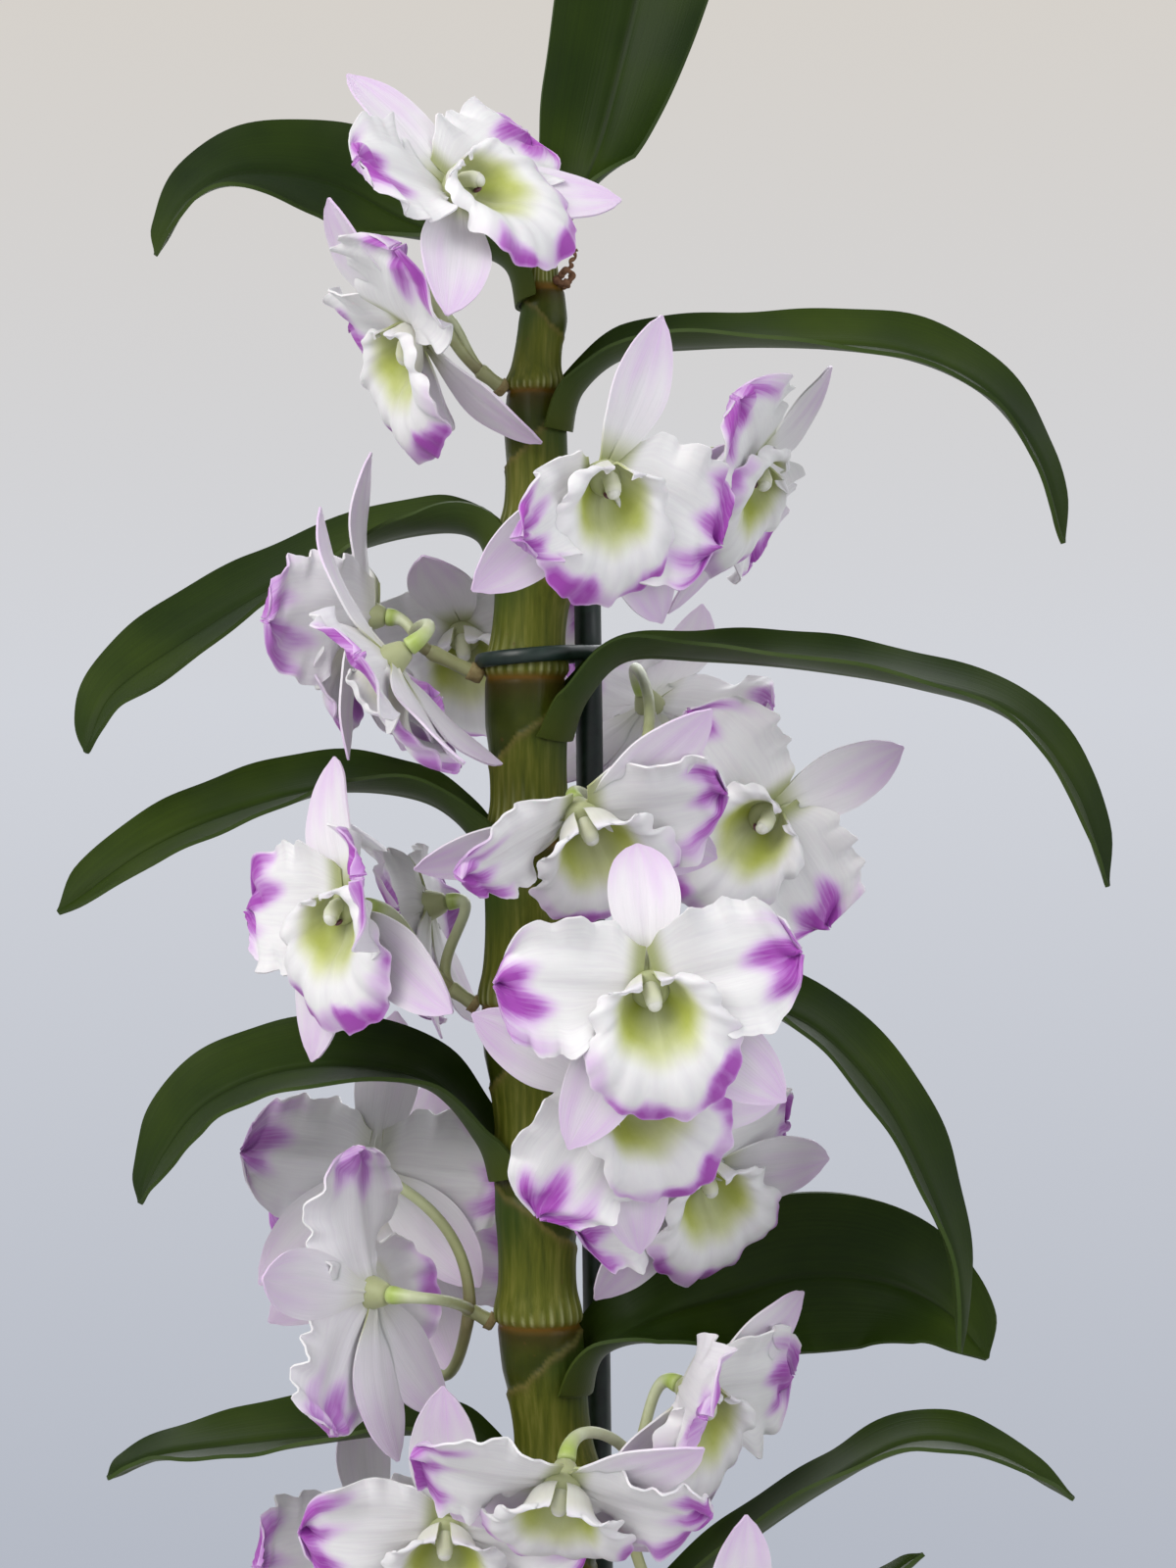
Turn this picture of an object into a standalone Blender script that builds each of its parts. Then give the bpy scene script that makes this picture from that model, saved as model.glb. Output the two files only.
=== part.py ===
"""A potted dendrobium orchid in bloom: one leafy cane with its stake and tie, a pot of bark,
thirteen leaves, nine flower stalks and twenty-three blooms. Metres, +Z up, standing on Z = 0."""

import math
import random

import bmesh
import bpy
from mathutils import Matrix, Vector

MM = 0.001
GAP = 0.3 * MM

# Pot and bark
POT_HEIGHT = 108 * MM
POT_BASE_RADIUS = 44 * MM
POT_TOP_RADIUS = 58 * MM
POT_WALL = 2.0 * MM
RIM_HEIGHT = 13 * MM
RIM_OVERHANG = 3.0 * MM
POT_FLOOR = 4 * MM
BARK_TOP = 98 * MM
BARK_RELIEF = 3.5 * MM
BARK_SPOKES = 20
BARK_RINGS = 5

# Cane: its axis as (height, sideways place), its rings, and the radius at each ring
CANE_FOOT = 62 * MM
CANE_TOP = 513 * MM
CANE_AXIS = [
    (40, 0.0), (104, 0.0), (165, -0.8), (235, -4.5), (300, -8.8),
    (350, -10.8), (410, -10.0), (465, -8.2), (530, -6.8),
]
CANE_RINGS = [114, 132, 162, 198, 235, 270, 305, 341, 378, 415, 446, 479, 502]
CANE_RING_RADIUS = [7.4, 8.0, 8.8, 9.1, 9.2, 9.3, 9.2, 9.2, 9.3, 9.0, 8.4, 6.2, 4.4]
CANE_ZIGZAG = 0.9
CANE_WAIST = 0.9

# Stake and tie
STAKE_RADIUS = 3.1 * MM
STAKE_FOOT = (8.4, 14.6, 14.0)
STAKE_TIP = (3.0, 14.6, 449.0)
TIE_HEIGHT = 419.5 * MM
TIE_RADIUS = 1.1 * MM
TIE_SLACK = 1.0 * MM
TIE_SLOPE = 0.09

# Leaves: the ring each sheath grows from, and the blade's middle line as (x, y, z) in mm.
# turn is how far the upper face turns to the viewer, in degrees, at the base, middle and tip.
LEAF_THICKNESS = 1.0 * MM
LEAF_ROWS = 8
LEAF_COLUMNS = 4
LEAF_HALF_WIDTH = [
    (0, 0.72), (0.1, 0.66), (0.2, 0.66), (0.35, 0.84), (0.55, 1.0), (0.75, 0.86), (0.92, 0.42), (1, 0.05)]
LEAF_CLASP = [(0, 75), (0.1, 68), (0.2, 50), (0.4, 30), (0.7, 18), (1, 8)]
LEAF_COLLAR = 1.35
LEAF_FOOT_DEPTH = 9
LEAF_SETTLE = 0.25
LEAVES = {
    "leaf_01": dict(half=18.5, side=1, turn=(50, 80, 70), path=[
        (1, 1, 522), (6, 4, 536), (12, 7, 560), (18, 8, 585), (27, 7, 608), (37, 4, 628), (46, 0, 641)]),
    "leaf_02": dict(half=15.5, side=-1, turn=(0, 55, 20), path=[
        (-15, 2, 507), (-24, 8, 513), (-40, 14, 521), (-56, 14, 529), (-75, 9, 530),
        (-87, 5, 523), (-94, 2, 510)]),
    "leaf_03": dict(half=15.5, side=1, turn=(10, 22, 30), path=[
        (2, -1, 479), (12, -3, 487), (30, -5, 489), (52, -6, 489), (74, -6, 487), (92, -4, 479),
        (104, -2, 464), (110, 0, 445)]),
    "leaf_04": dict(half=15.5, side=-1, turn=(0, 25, 45), path=[
        (-21.5, 2, 446), (-32, 12, 449), (-50, 23, 446), (-70, 20, 436), (-90, 13, 423),
        (-105, 7, 411), (-110, 4, 398)]),
    "leaf_05": dict(half=15.5, side=1, turn=(0, 12, 30), path=[
        (3, -2, 410), (12, -7, 419), (30, -11, 419), (52, -14, 417), (76, -12, 413),
        (98, -8, 406), (112, -4, 390), (120, 0, 368)]),
    "leaf_06": dict(half=15.5, side=-1, turn=(0, 15, 45), path=[
        (-23.5, 1, 380), (-34, 4, 388), (-54, 8, 390), (-76, 8, 385), (-97, 6, 376), (-116, 2, 362)]),
    "leaf_07": dict(half=15.5, side=1, turn=(0, 22, 22), path=[
        (2.5, 0, 332), (15, 0, 340), (32, 5, 343), (46, 5, 340), (58, 2, 333), (70, -4, 319),
        (78, -9, 303), (84, -13, 285), (85, -16, 266)]),
    "leaf_08": dict(half=15.5, side=-1, turn=(5, 28, 30), path=[
        (-21.5, 0, 311), (-32, -3, 324), (-50, -3, 328), (-68, 0, 326), (-83, 1, 319),
        (-92, 0, 308), (-97, -2, 297)]),
    "leaf_09": dict(half=18.5, side=1, turn=(0, 75, 60), path=[
        (7, -1, 264), (19, 1, 271), (35, 8, 275), (52, 13, 279), (70, 12, 278), (84, 6, 272),
        (93, 0, 262)]),
    "leaf_10": dict(half=14.5, side=-1, turn=(0, 10, 10), path=[
        (-17, 0, 235), (-26, 0, 244), (-40, 0, 246), (-60, 2, 244), (-78, 2, 242), (-94, 0, 240),
        (-104, -4, 236)]),
    "leaf_11": dict(half=12.5, side=1, turn=(0, 0, 20), path=[
        (10, -1, 192), (20, -3, 206), (38, -8, 223), (58, -10, 237), (76, -8, 245), (94, -6, 242),
        (112, -2, 231)]),
    "leaf_12": dict(half=13.5, side=-1, turn=(0, 20, 20), path=[
        (-13, 0, 160), (-22, -2, 171), (-38, -2, 178), (-58, 0, 177), (-76, 2, 170), (-90, 2, 156)]),
    "leaf_13": dict(half=11.5, side=1, turn=(0, 0, 0), path=[
        (11, -1, 142), (19, -5, 157), (32, -11, 177), (48, -16, 198), (64, -17, 213), (77, -16, 222)]),
}

# Blooms: where the petals meet (x, y, z in mm), which way the bloom looks (degrees to the
# right, degrees up) and its roll. turns and backs bend single petals: top sepal, left sepal,
# right sepal, left petal, right petal, in degrees round the face and away from it. sizes makes
# them broader or narrower. lip swings the lip forward, and leave bends the start of its stalk.
BLOOMS = {
    "bloom_01a": dict(at=(-27, -32, 519), look=(33, 37), roll=45, turns=(-18, -28, 0, -36, -6),
                      backs=(0, 0, -25, -25, 0)),
    "bloom_01b": dict(at=(-35, -10, 490), look=(-68, -38), roll=-12, turns=(0, 0, 0, 0, 50), lip=25),
    "bloom_02a": dict(at=(6, -40, 458), look=(32, -10), roll=-4, turns=(-6, -5, 0, 30, -20),
                      backs=(0, 0, 0, -35, -10), sizes=(1, 1, 1, 0.66, 1.08)),
    "bloom_02b": dict(at=(40, 2, 462), look=(70, -25), roll=-40, turns=(0, 0, 0, 15, 0)),
    "bloom_03a": dict(at=(-39, -38, 417), look=(-98, -36), roll=0, turns=(0, 0, 0, 15, 0),
                      backs=(20, 0, 0, 0, 0)),
    "bloom_03b": dict(at=(-47, 2, 429), look=(-100, 5), roll=-8, turns=(0, 0, 0, 22, 0),
                      backs=(0, 0, 0, -50, -50)),
    "bloom_04a": dict(at=(2, -36, 384), look=(18, -35), roll=30, turns=(-70, -56, 0, -15, -18),
                      backs=(0, 0, 0, -35, 0), sizes=(1, 0.8, 1, 0.66, 1)),
    "bloom_04b": dict(at=(43, 5, 387), look=(20, -14), roll=-52, turns=(-12, 30, -5, 3, -3)),
    "bloom_04c": dict(at=(18, 36, 409), look=(150, -45), roll=0, turns=(0, 25, 0, 0, 30),
                      leave=(0.6, -0.4, 0.6)),
    "bloom_05a": dict(at=(-49, -26, 368), look=(-45, 2), roll=15, turns=(8, 0, 2, -12, 0),
                      backs=(20, 0, 0, 0, -60)),
    "bloom_05b": dict(at=(-34, 17, 363), look=(-100, -10), roll=0, backs=(-60, 0, 0, 0, 0)),
    "bloom_06a": dict(at=(16, -62, 353), look=(4, -3), roll=12, turns=(-10, 0, 0, -2, -10),
                      backs=(60, 0, 0, 0, 0)),
    "bloom_06b": dict(at=(10, -40, 326), look=(12, -8), roll=48, turns=(14, 0, 0, 10, 0)),
    "bloom_06c": dict(at=(28, -8, 305), look=(30, -22), roll=20, turns=(0, -10, 30, 0, -10),
                      backs=(0, 0, 0, 0, 35)),
    "bloom_07a": dict(at=(-46, 18, 303), look=(170, -5), roll=5, turns=(0, -12, 0, 0, 0),
                      backs=(-15, 0, 0, 0, 0), leave=(0.9, 0.3, 1.2)),
    "bloom_07b": dict(at=(-44, -20, 280), look=(-125, 0), roll=-65, turns=(-13, 66, 20, -30, 0),
                      leave=(0.5, -1.5, 0)),
    "bloom_07c": dict(at=(-42, 42, 286), look=(175, -10), roll=14, leave=(0.4, 1.4, -3.4)),
    "bloom_08a": dict(at=(-2, -50, 245), look=(-12, -48), roll=-12, turns=(-50, 0, 0, -8, -6)),
    "bloom_08b": dict(at=(27, -20, 258), look=(48, -15), roll=-15, turns=(-42, 8, 0, 0, 15),
                      backs=(0, 0, 0, -70, 0)),
    "bloom_08c": dict(at=(31, -38, 204), look=(25, -20), roll=0, leave=(-0.3, 0, -2.5)),
    "bloom_09a": dict(at=(-46, 20, 215), look=(-140, -5), roll=0),
    "bloom_09b": dict(at=(-28, -16, 227), look=(0, -20), roll=0, turns=(0, 0, -30, 0, 0)),
    "bloom_10a": dict(at=(-26, 36, 426), look=(-5, -30), roll=10, turns=(0, 0, 0, 0, 15),
                      backs=(-50, 0, 0, 0, 0), leave=(-0.6, 0.6, 0)),
}

# Sepals and petals: length, half width, place round the face, height of the base, and the
# angle they rise at, at the base and at the tip
TEPAL_THICKNESS = 0.8 * MM
TEPAL_START = 2.8 * MM
SEPAL_GRID = (1, 3)
PETAL_GRID = (1, 4)
SEPAL_OUTLINE = [(0, 0.26), (0.25, 0.78), (0.5, 1.0), (0.75, 0.80), (0.92, 0.38), (1, 0.08)]
PETAL_OUTLINE = [(0, 0.16), (0.2, 0.70), (0.4, 0.97), (0.6, 1.0), (0.8, 0.84), (0.93, 0.47), (1, 0.05)]
TOP_SEPAL = dict(length=34, half=7.6, turn=90, base=-0.8, rise=(14, -10), cup=0.10, ruffle=0.4)
LEFT_SEPAL = dict(length=35, half=8.0, turn=232, base=-0.8, rise=(6, -16), cup=0.08, ruffle=0.4)
RIGHT_SEPAL = dict(LEFT_SEPAL, turn=308)
LEFT_PETAL = dict(length=31, half=14.2, turn=180, base=1.2, rise=(24, -14), cup=0.10, ruffle=2.4)
RIGHT_PETAL = dict(LEFT_PETAL, turn=0)
HEART_RADIUS = 4.2 * MM
HEART_BACK = 5.0 * MM
HEART_FRONT = 2.2 * MM
COLUMN_RADIUS = 1.8 * MM
COLUMN_LENGTH = 8.5 * MM
COLUMN_TILT = 38

# Lip: a funnel round the column, as (radius, height) from its throat to its margin. It slides
# down the face as it opens, and its front lobe is longer and bends back.
LIP_SPAN = 158
LIP_TILT = 12
LIP_DROP = 7.0
LIP_PROFILE = [(2.4, 0.6), (8.6, 9.4), (16.4, 12.0)]
LIP_GRID = (6, 2)
LIP_THICKNESS = 0.8 * MM
LIP_FRONT_LONGER = 0.13
LIP_BACK_SHORTER = 0.22
LIP_BACK_LOWER = 0.20
LIP_FRONT_BEND = 3.5
LIP_RUFFLE = 1.0

# Stalks: the ring each leaves the cane at, its direction round the cane and the stem's length
STALK_RADIUS = 1.8 * MM
PEDICEL_RADIUS = 1.15 * MM
PEDICEL_POINTS = 6
STALKS = {
    "stalk_01": dict(ring=479, round=-70, out=8, rise=35),
    "stalk_02": dict(ring=446, round=62, out=9, rise=10),
    "stalk_03": dict(ring=415, round=-80, out=14, rise=25),
    "stalk_04": dict(ring=378, round=55, out=9, rise=30),
    "stalk_05": dict(ring=341, round=-85, out=8, rise=35),
    "stalk_06": dict(ring=305, round=45, out=12, rise=20),
    "stalk_07": dict(ring=270, round=-85, out=8, rise=30),
    "stalk_08": dict(ring=235, round=50, out=10, rise=20),
    "stalk_09": dict(ring=198, round=-85, out=12, rise=25),
    "stalk_10": dict(ring=446, round=175, out=8, rise=5),
}


def clear_scene():
    for obj in list(bpy.data.objects):
        bpy.data.objects.remove(obj, do_unlink=True)


def new_collection(name):
    collection = bpy.data.collections.new(name)
    bpy.context.scene.collection.children.link(collection)
    return collection


def material(name, colour, roughness, metallic=0.0):
    made = bpy.data.materials.new(name)
    made.use_nodes = True
    shader = made.node_tree.nodes["Principled BSDF"]
    shader.inputs["Base Color"].default_value = (*colour, 1.0)
    shader.inputs["Roughness"].default_value = roughness
    shader.inputs["Metallic"].default_value = metallic
    return made


def add_object(name, data, collection, finish=None):
    obj = bpy.data.objects.new(name, data)
    collection.objects.link(obj)
    if finish:
        data.materials.append(finish)
    return obj


def millimetres(point):
    return Vector(point) * MM


def between(table, at):
    """A smooth value read from (place, value) pairs."""
    places = [place for place, _ in table]
    at = min(max(at, places[0]), places[-1])
    i = max(k for k in range(len(table) - 1) if places[k] <= at)
    (x0, y0), (x1, y1) = table[i], table[i + 1]
    before = table[i - 1] if i else (x0 - (x1 - x0), y0)
    after = table[i + 2] if i + 2 < len(table) else (x1 + (x1 - x0), y1)
    t = (at - x0) / (x1 - x0)
    slope_0 = (y1 - before[1]) / (x1 - before[0]) * (x1 - x0)
    slope_1 = (after[1] - y0) / (after[0] - x0) * (x1 - x0)
    return (
        y0 * (2 * t**3 - 3 * t**2 + 1) + slope_0 * (t**3 - 2 * t**2 + t)
        + y1 * (3 * t**2 - 2 * t**3) + slope_1 * (t**3 - t**2)
    )


def along(points, share):
    """A point on the smooth curve through the points, at a share of their number."""
    tables = [[(i, p[axis]) for i, p in enumerate(points)] for axis in range(3)]
    at = share * (len(points) - 1)
    return Vector([between(table, at) for table in tables])


def sheet(name, columns, rows, place, collection, thickness):
    """A grid whose corners are put by place(u along, v across from -1 to 1), given its thickness."""
    bm = bmesh.new()
    bmesh.ops.create_grid(bm, x_segments=columns, y_segments=rows, size=1.0)
    for vertex in bm.verts:
        vertex.co = place((vertex.co.y + 1) / 2, vertex.co.x)
    bmesh.ops.triangulate(bm, faces=bm.faces, quad_method="SHORT_EDGE")
    mesh = bpy.data.meshes.new(name)
    bm.to_mesh(mesh)
    bm.free()
    obj = add_object(name, mesh, collection)
    solid = obj.modifiers.new("thickness", "SOLIDIFY")
    solid.thickness = thickness
    solid.offset = 0
    return obj


def closed_mesh(obj):
    """The object's evaluated mesh with its points merged, in the object's place."""
    bpy.context.view_layer.update()
    graph = bpy.context.evaluated_depsgraph_get()
    mesh = bpy.data.meshes.new_from_object(obj.evaluated_get(graph))
    mesh.transform(obj.matrix_world)
    bm = bmesh.new()
    bm.from_mesh(mesh)
    bmesh.ops.remove_doubles(bm, verts=bm.verts, dist=0.01 * MM)
    bmesh.ops.recalc_face_normals(bm, faces=bm.faces)
    bm.to_mesh(mesh)
    bm.free()
    return mesh


def largest_body(mesh):
    """Keeps the largest connected body of a mesh."""
    bm = bmesh.new()
    bm.from_mesh(mesh)
    left, bodies = set(bm.verts), []
    while left:
        edge_of, body = [left.pop()], []
        while edge_of:
            vertex = edge_of.pop()
            body.append(vertex)
            for edge in vertex.link_edges:
                other = edge.other_vert(vertex)
                if other in left:
                    left.remove(other)
                    edge_of.append(other)
        bodies.append(body)
    bodies.sort(key=len)
    for body in bodies[:-1]:
        bmesh.ops.delete(bm, geom=body, context="VERTS")
    bm.to_mesh(mesh)
    bm.free()


def fuse(name, base, others, collection, finish):
    """One solid from a base and a collection of solids that grow from it."""
    union = base.modifiers.new("grown together", "BOOLEAN")
    union.operation = "UNION"
    union.operand_type = "COLLECTION"
    union.collection = others
    union.solver = "EXACT"
    mesh = closed_mesh(base)
    largest_body(mesh)
    mesh.materials.clear()
    for obj in [base, *others.objects]:
        bpy.data.objects.remove(obj, do_unlink=True)
    bpy.data.collections.remove(others)
    return add_object(name, mesh, collection, finish)


def tube(name, points, radius, sides, collection, radii=None, cyclic=False):
    """A round bar along a list of points, as a closed mesh."""
    curve = bpy.data.curves.new(name, "CURVE")
    curve.dimensions = "3D"
    curve.bevel_depth = radius
    curve.bevel_resolution = (sides - 4) // 2
    curve.use_fill_caps = True
    spline = curve.splines.new("POLY")
    spline.points.add(len(points) - 1)
    for i, point in enumerate(points):
        spline.points[i].co = (*point, 1.0)
        spline.points[i].radius = radii[i] if radii else 1.0
    spline.use_cyclic_u = cyclic
    guide = add_object(name + "_line", curve, collection)
    mesh = closed_mesh(guide)
    bpy.data.objects.remove(guide, do_unlink=True)
    return add_object(name, mesh, collection)


def turned(name, profile, steps, collection, finish):
    """A solid of revolution from (radius, height) points that run down its outer side."""
    mesh = bpy.data.meshes.new(name)
    edges = [(i, i + 1) for i in range(len(profile) - 1)]
    mesh.from_pydata([(r, 0, z) for r, z in profile], edges, [])
    obj = add_object(name, mesh, collection, finish)
    screw = obj.modifiers.new("turned", "SCREW")
    screw.steps = steps
    screw.render_steps = steps
    screw.use_merge_vertices = True
    screw.merge_threshold = 0.0001
    screw.use_smooth_shade = True
    return obj


def cane_axis(height):
    """The middle of the cane at a height in mm, with its small step to and fro at the rings."""
    turn = 0.0
    for i in range(len(CANE_RINGS) - 1):
        low, high = CANE_RINGS[i], CANE_RINGS[i + 1]
        if low <= height <= high:
            step = -1 if i % 2 else 1
            turn = step * CANE_ZIGZAG * math.cos(math.pi * (height - low) / (high - low))
    return Vector((between(CANE_AXIS, height) + turn, 0, height)) * MM


def cane_radius(height):
    """The cane's radius at a height in mm: swollen at the rings, narrower between them."""
    if height <= CANE_RINGS[0]:
        return CANE_RING_RADIUS[0] * MM
    if height >= CANE_RINGS[-1]:
        share = (height - CANE_RINGS[-1]) / (CANE_TOP / MM - CANE_RINGS[-1])
        return CANE_RING_RADIUS[-1] * (1 - 0.35 * share) * MM
    i = max(k for k in range(len(CANE_RINGS) - 1) if CANE_RINGS[k] <= height)
    share = (height - CANE_RINGS[i]) / (CANE_RINGS[i + 1] - CANE_RINGS[i])
    plain = CANE_RING_RADIUS[i] * (1 - share) + CANE_RING_RADIUS[i + 1] * share
    waist = 1 - (1 - CANE_WAIST) * math.sin(math.pi * min(share / 0.7, 1.0))
    return plain * waist * MM


def make_cane(collection, finish):
    heights = [CANE_FOOT / MM, 90]
    for low, high in zip(CANE_RINGS, CANE_RINGS[1:]):
        length = high - low
        heights += [low, low + 0.35 * length, low + 0.75 * length]
    heights += [CANE_RINGS[-1], CANE_TOP / MM]
    points = [cane_axis(h) for h in heights]
    thick = max(CANE_RING_RADIUS) * MM
    radii = [cane_radius(h) / thick for h in heights]
    cane = tube("cane", points, thick, 10, collection, radii)
    cane.data.materials.append(finish)
    return cane


def make_pot(collection, finish):
    height, wall = POT_HEIGHT, POT_WALL
    rim_bottom = height - RIM_HEIGHT
    slope = (POT_TOP_RADIUS - POT_BASE_RADIUS) / height
    under_rim = POT_BASE_RADIUS + slope * rim_bottom
    top = POT_TOP_RADIUS + RIM_OVERHANG
    floor = POT_FLOOR
    profile = [
        (POT_TOP_RADIUS - wall, height), (top, height), (top - 0.6 * MM, rim_bottom),
        (under_rim, rim_bottom), (POT_BASE_RADIUS, 0), (0, 0), (0, floor),
        (POT_BASE_RADIUS - wall + slope * floor, floor), (POT_TOP_RADIUS - wall, height),
    ]
    pot = turned("pot", profile, 32, collection, finish)
    return pot


def make_bark(collection, finish, cutters):
    """The potting bark: a plug that fills the pot, its top broken into lumps, with two holes."""
    rng = random.Random(7)
    slope = (POT_TOP_RADIUS - POT_BASE_RADIUS) / POT_HEIGHT
    bottom = POT_FLOOR + GAP
    inner = POT_BASE_RADIUS - POT_WALL - GAP - 0.4 * MM
    profile = [(0, BARK_TOP)]
    for ring in range(1, BARK_RINGS + 1):
        share = ring / BARK_RINGS
        profile.append(((inner + slope * (BARK_TOP - POT_FLOOR)) * share, BARK_TOP))
    profile += [(inner + slope * bottom, bottom), (0, bottom)]
    bark = turned("bark_plug", profile, BARK_SPOKES, collection, None)
    mesh = closed_mesh(bark)
    bpy.data.objects.remove(bark, do_unlink=True)
    edge = inner + slope * (BARK_TOP - POT_FLOOR)
    for vertex in mesh.vertices:
        radius = math.hypot(vertex.co.x, vertex.co.y)
        if vertex.co.z > BARK_TOP - 1 * MM and radius < 0.95 * edge:
            vertex.co.z += rng.uniform(-1, 1) * BARK_RELIEF
            vertex.co.x += rng.uniform(-1, 1) * 2 * MM
            vertex.co.y += rng.uniform(-1, 1) * 2 * MM
    bark = add_object("bark", mesh, collection, finish)
    foot, tip = millimetres(STAKE_FOOT), millimetres(STAKE_TIP)
    lean = (tip - foot).normalized()
    holes = [
        tube("cane_hole", [cane_axis(CANE_FOOT / MM - 0.3), cane_axis(125)],
             CANE_RING_RADIUS[0] * MM + 3 * GAP, 16, cutters),
        tube("stake_hole", [foot - lean * GAP, foot + lean * 0.12], STAKE_RADIUS + GAP, 12, cutters),
    ]
    for hole in holes:
        hole.hide_render = True
        hole.display_type = "WIRE"
        cut = bark.modifiers.new(hole.name, "BOOLEAN")
        cut.operation = "DIFFERENCE"
        cut.object = hole
        cut.solver = "EXACT"
    return bark


def make_stake(collection, finish):
    stake = tube("stake", [millimetres(STAKE_FOOT), millimetres(STAKE_TIP)], STAKE_RADIUS, 12, collection)
    stake.data.materials.append(finish)
    return stake


def make_tie(collection, finish):
    """A loop of soft plastic round the cane and the stake."""
    height = TIE_HEIGHT / MM
    middle = cane_axis(height)
    share = (height - STAKE_FOOT[2]) / (STAKE_TIP[2] - STAKE_FOOT[2])
    stake = millimetres(STAKE_FOOT).lerp(millimetres(STAKE_TIP), share)
    around_cane = cane_radius(height) + TIE_RADIUS + TIE_SLACK
    around_stake = STAKE_RADIUS + TIE_RADIUS + GAP
    toward = math.atan2(stake.y - middle.y, stake.x - middle.x)
    spread = math.acos((around_cane - around_stake) / (stake - middle).to_2d().length)
    points = []
    for i in range(13):
        angle = toward + spread + (2 * math.pi - 2 * spread) * i / 12
        points.append(middle + Vector((math.cos(angle), math.sin(angle), 0)) * around_cane)
    for i in range(5):
        angle = toward - spread + 2 * spread * i / 4
        points.append(stake + Vector((math.cos(angle), math.sin(angle), 0)) * around_stake)
    for point in points:
        point.z = TIE_HEIGHT + TIE_SLOPE * (point.x - middle.x)
    tie = tube("tie", points, TIE_RADIUS, 6, collection, cyclic=True)
    tie.data.materials.append(finish)
    return tie


def leaf_place(leaf):
    """Where a point of a leaf lies: a strip along its middle line, clasping the cane at its base."""
    path = [millimetres(p) for p in leaf["path"]]
    side = leaf["side"]
    foot_height = leaf["path"][0][2] - LEAF_FOOT_DEPTH
    foot = cane_axis(foot_height)
    clasp = cane_radius(foot_height) + LEAF_COLLAR * MM
    base = foot + Vector((side * clasp, 0, 0))
    points = [base, *path]
    across = Vector((0, side, 0))
    turns = [(0, leaf["turn"][0]), (0.5, leaf["turn"][1]), (1, leaf["turn"][2])]
    clasp_angle = math.radians(LEAF_CLASP[0][1])
    foot_half = clasp * clasp_angle

    def place(u, v):
        middle = along(points, u)
        ahead = (along(points, min(u + 0.01, 1)) - along(points, max(u - 0.01, 0))).normalized()
        wide = across - ahead * across.dot(ahead)
        wide.normalize()
        face = ahead.cross(wide)
        settle = min(u / LEAF_SETTLE, 1.0)
        turn = math.radians(between(turns, u)) * side * settle
        spin = Matrix.Rotation(turn, 3, ahead)
        wide, face = spin @ wide, spin @ face
        blade_half = leaf["half"] * MM * between(LEAF_HALF_WIDTH, u)
        half = foot_half * (1 - settle) + blade_half * settle
        bend = math.radians(between(LEAF_CLASP, u))
        radius = half / bend
        return middle + wide * radius * math.sin(bend * v) + face * radius * (1 - math.cos(bend * v))

    return place


def make_leaf(name, leaf, collection, finish):
    blade = sheet(name + "_strip", LEAF_COLUMNS, LEAF_ROWS, leaf_place(leaf), collection, LEAF_THICKNESS)
    mesh = closed_mesh(blade)
    bpy.data.objects.remove(blade, do_unlink=True)
    return add_object(name, mesh, collection, finish)


def tepal_place(shape, outline, phase):
    """Where a point of a sepal or petal lies: a strip that leaves the heart and bends back."""
    turn = math.radians(shape["turn"])
    start, end = (math.radians(a) for a in shape["rise"])
    length, half = shape["length"] * MM, shape["half"] * MM
    out = Vector((math.cos(turn), math.sin(turn), 0))
    wide = Vector((-math.sin(turn), math.cos(turn), 0))
    up = Vector((0, 0, 1))
    bend = end - start

    def place(u, v):
        rise = start + bend * u
        reach = TEPAL_START + length / bend * (math.sin(rise) - math.sin(start))
        height = shape["base"] * MM - length / bend * (math.cos(rise) - math.cos(start))
        face = up * math.cos(rise) - out * math.sin(rise)
        width = half * between(outline, u)
        lift = shape["cup"] * width * v * v
        wave = math.sin(math.tau * 1.4 * u + phase + (1.9 if v > 0 else 0))
        lift += shape["ruffle"] * MM * v * v * wave * math.sin(math.pi * min(u * 1.1, 1))
        return out * reach + up * height + wide * width * v + face * lift

    return place


def lip_place(phase, swing):
    """Where a point of the lip lies: a funnel open at the top, its front lobe longest."""
    tilt = math.radians(LIP_TILT)
    axis = Vector((0, -math.sin(tilt), math.cos(tilt)))
    down = Vector((0, -math.cos(tilt), -math.sin(tilt)))
    side = Vector((1, 0, 0))
    swung = Matrix.Rotation(-math.radians(swing), 3, "X")
    steps = len(LIP_PROFILE) - 1
    radii = [(i / steps, r) for i, (r, _) in enumerate(LIP_PROFILE)]
    heights = [(i / steps, h) for i, (_, h) in enumerate(LIP_PROFILE)]

    def place(u, v):
        angle = math.radians(LIP_SPAN) * v
        front = (1 + math.cos(angle)) / 2
        longer = (LIP_FRONT_LONGER + LIP_BACK_SHORTER) * front - LIP_BACK_SHORTER
        radius = between(radii, u) * (1 + u * longer)
        height = between(heights, u) * (1 - LIP_BACK_LOWER * (1 - front)) - LIP_FRONT_BEND * u * u * front
        height += LIP_RUFFLE * u * u * math.sin(angle * 4 + phase)
        spoke = down * math.cos(angle) + side * math.sin(angle)
        point = spoke * radius + axis * height + down * LIP_DROP * u
        return swung @ point * MM

    return place


def bloom_turn(bloom):
    """The matrix that stands a bloom, modelled looking along +Z, in its place."""
    right, up = (math.radians(a) for a in bloom["look"])
    turn = (
        Matrix.Rotation(right, 4, "Z")
        @ Matrix.Rotation(math.pi / 2 - up, 4, "X")
        @ Matrix.Rotation(math.radians(bloom["roll"]), 4, "Z")
    )
    return Matrix.Translation(millimetres(bloom["at"])) @ turn


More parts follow.
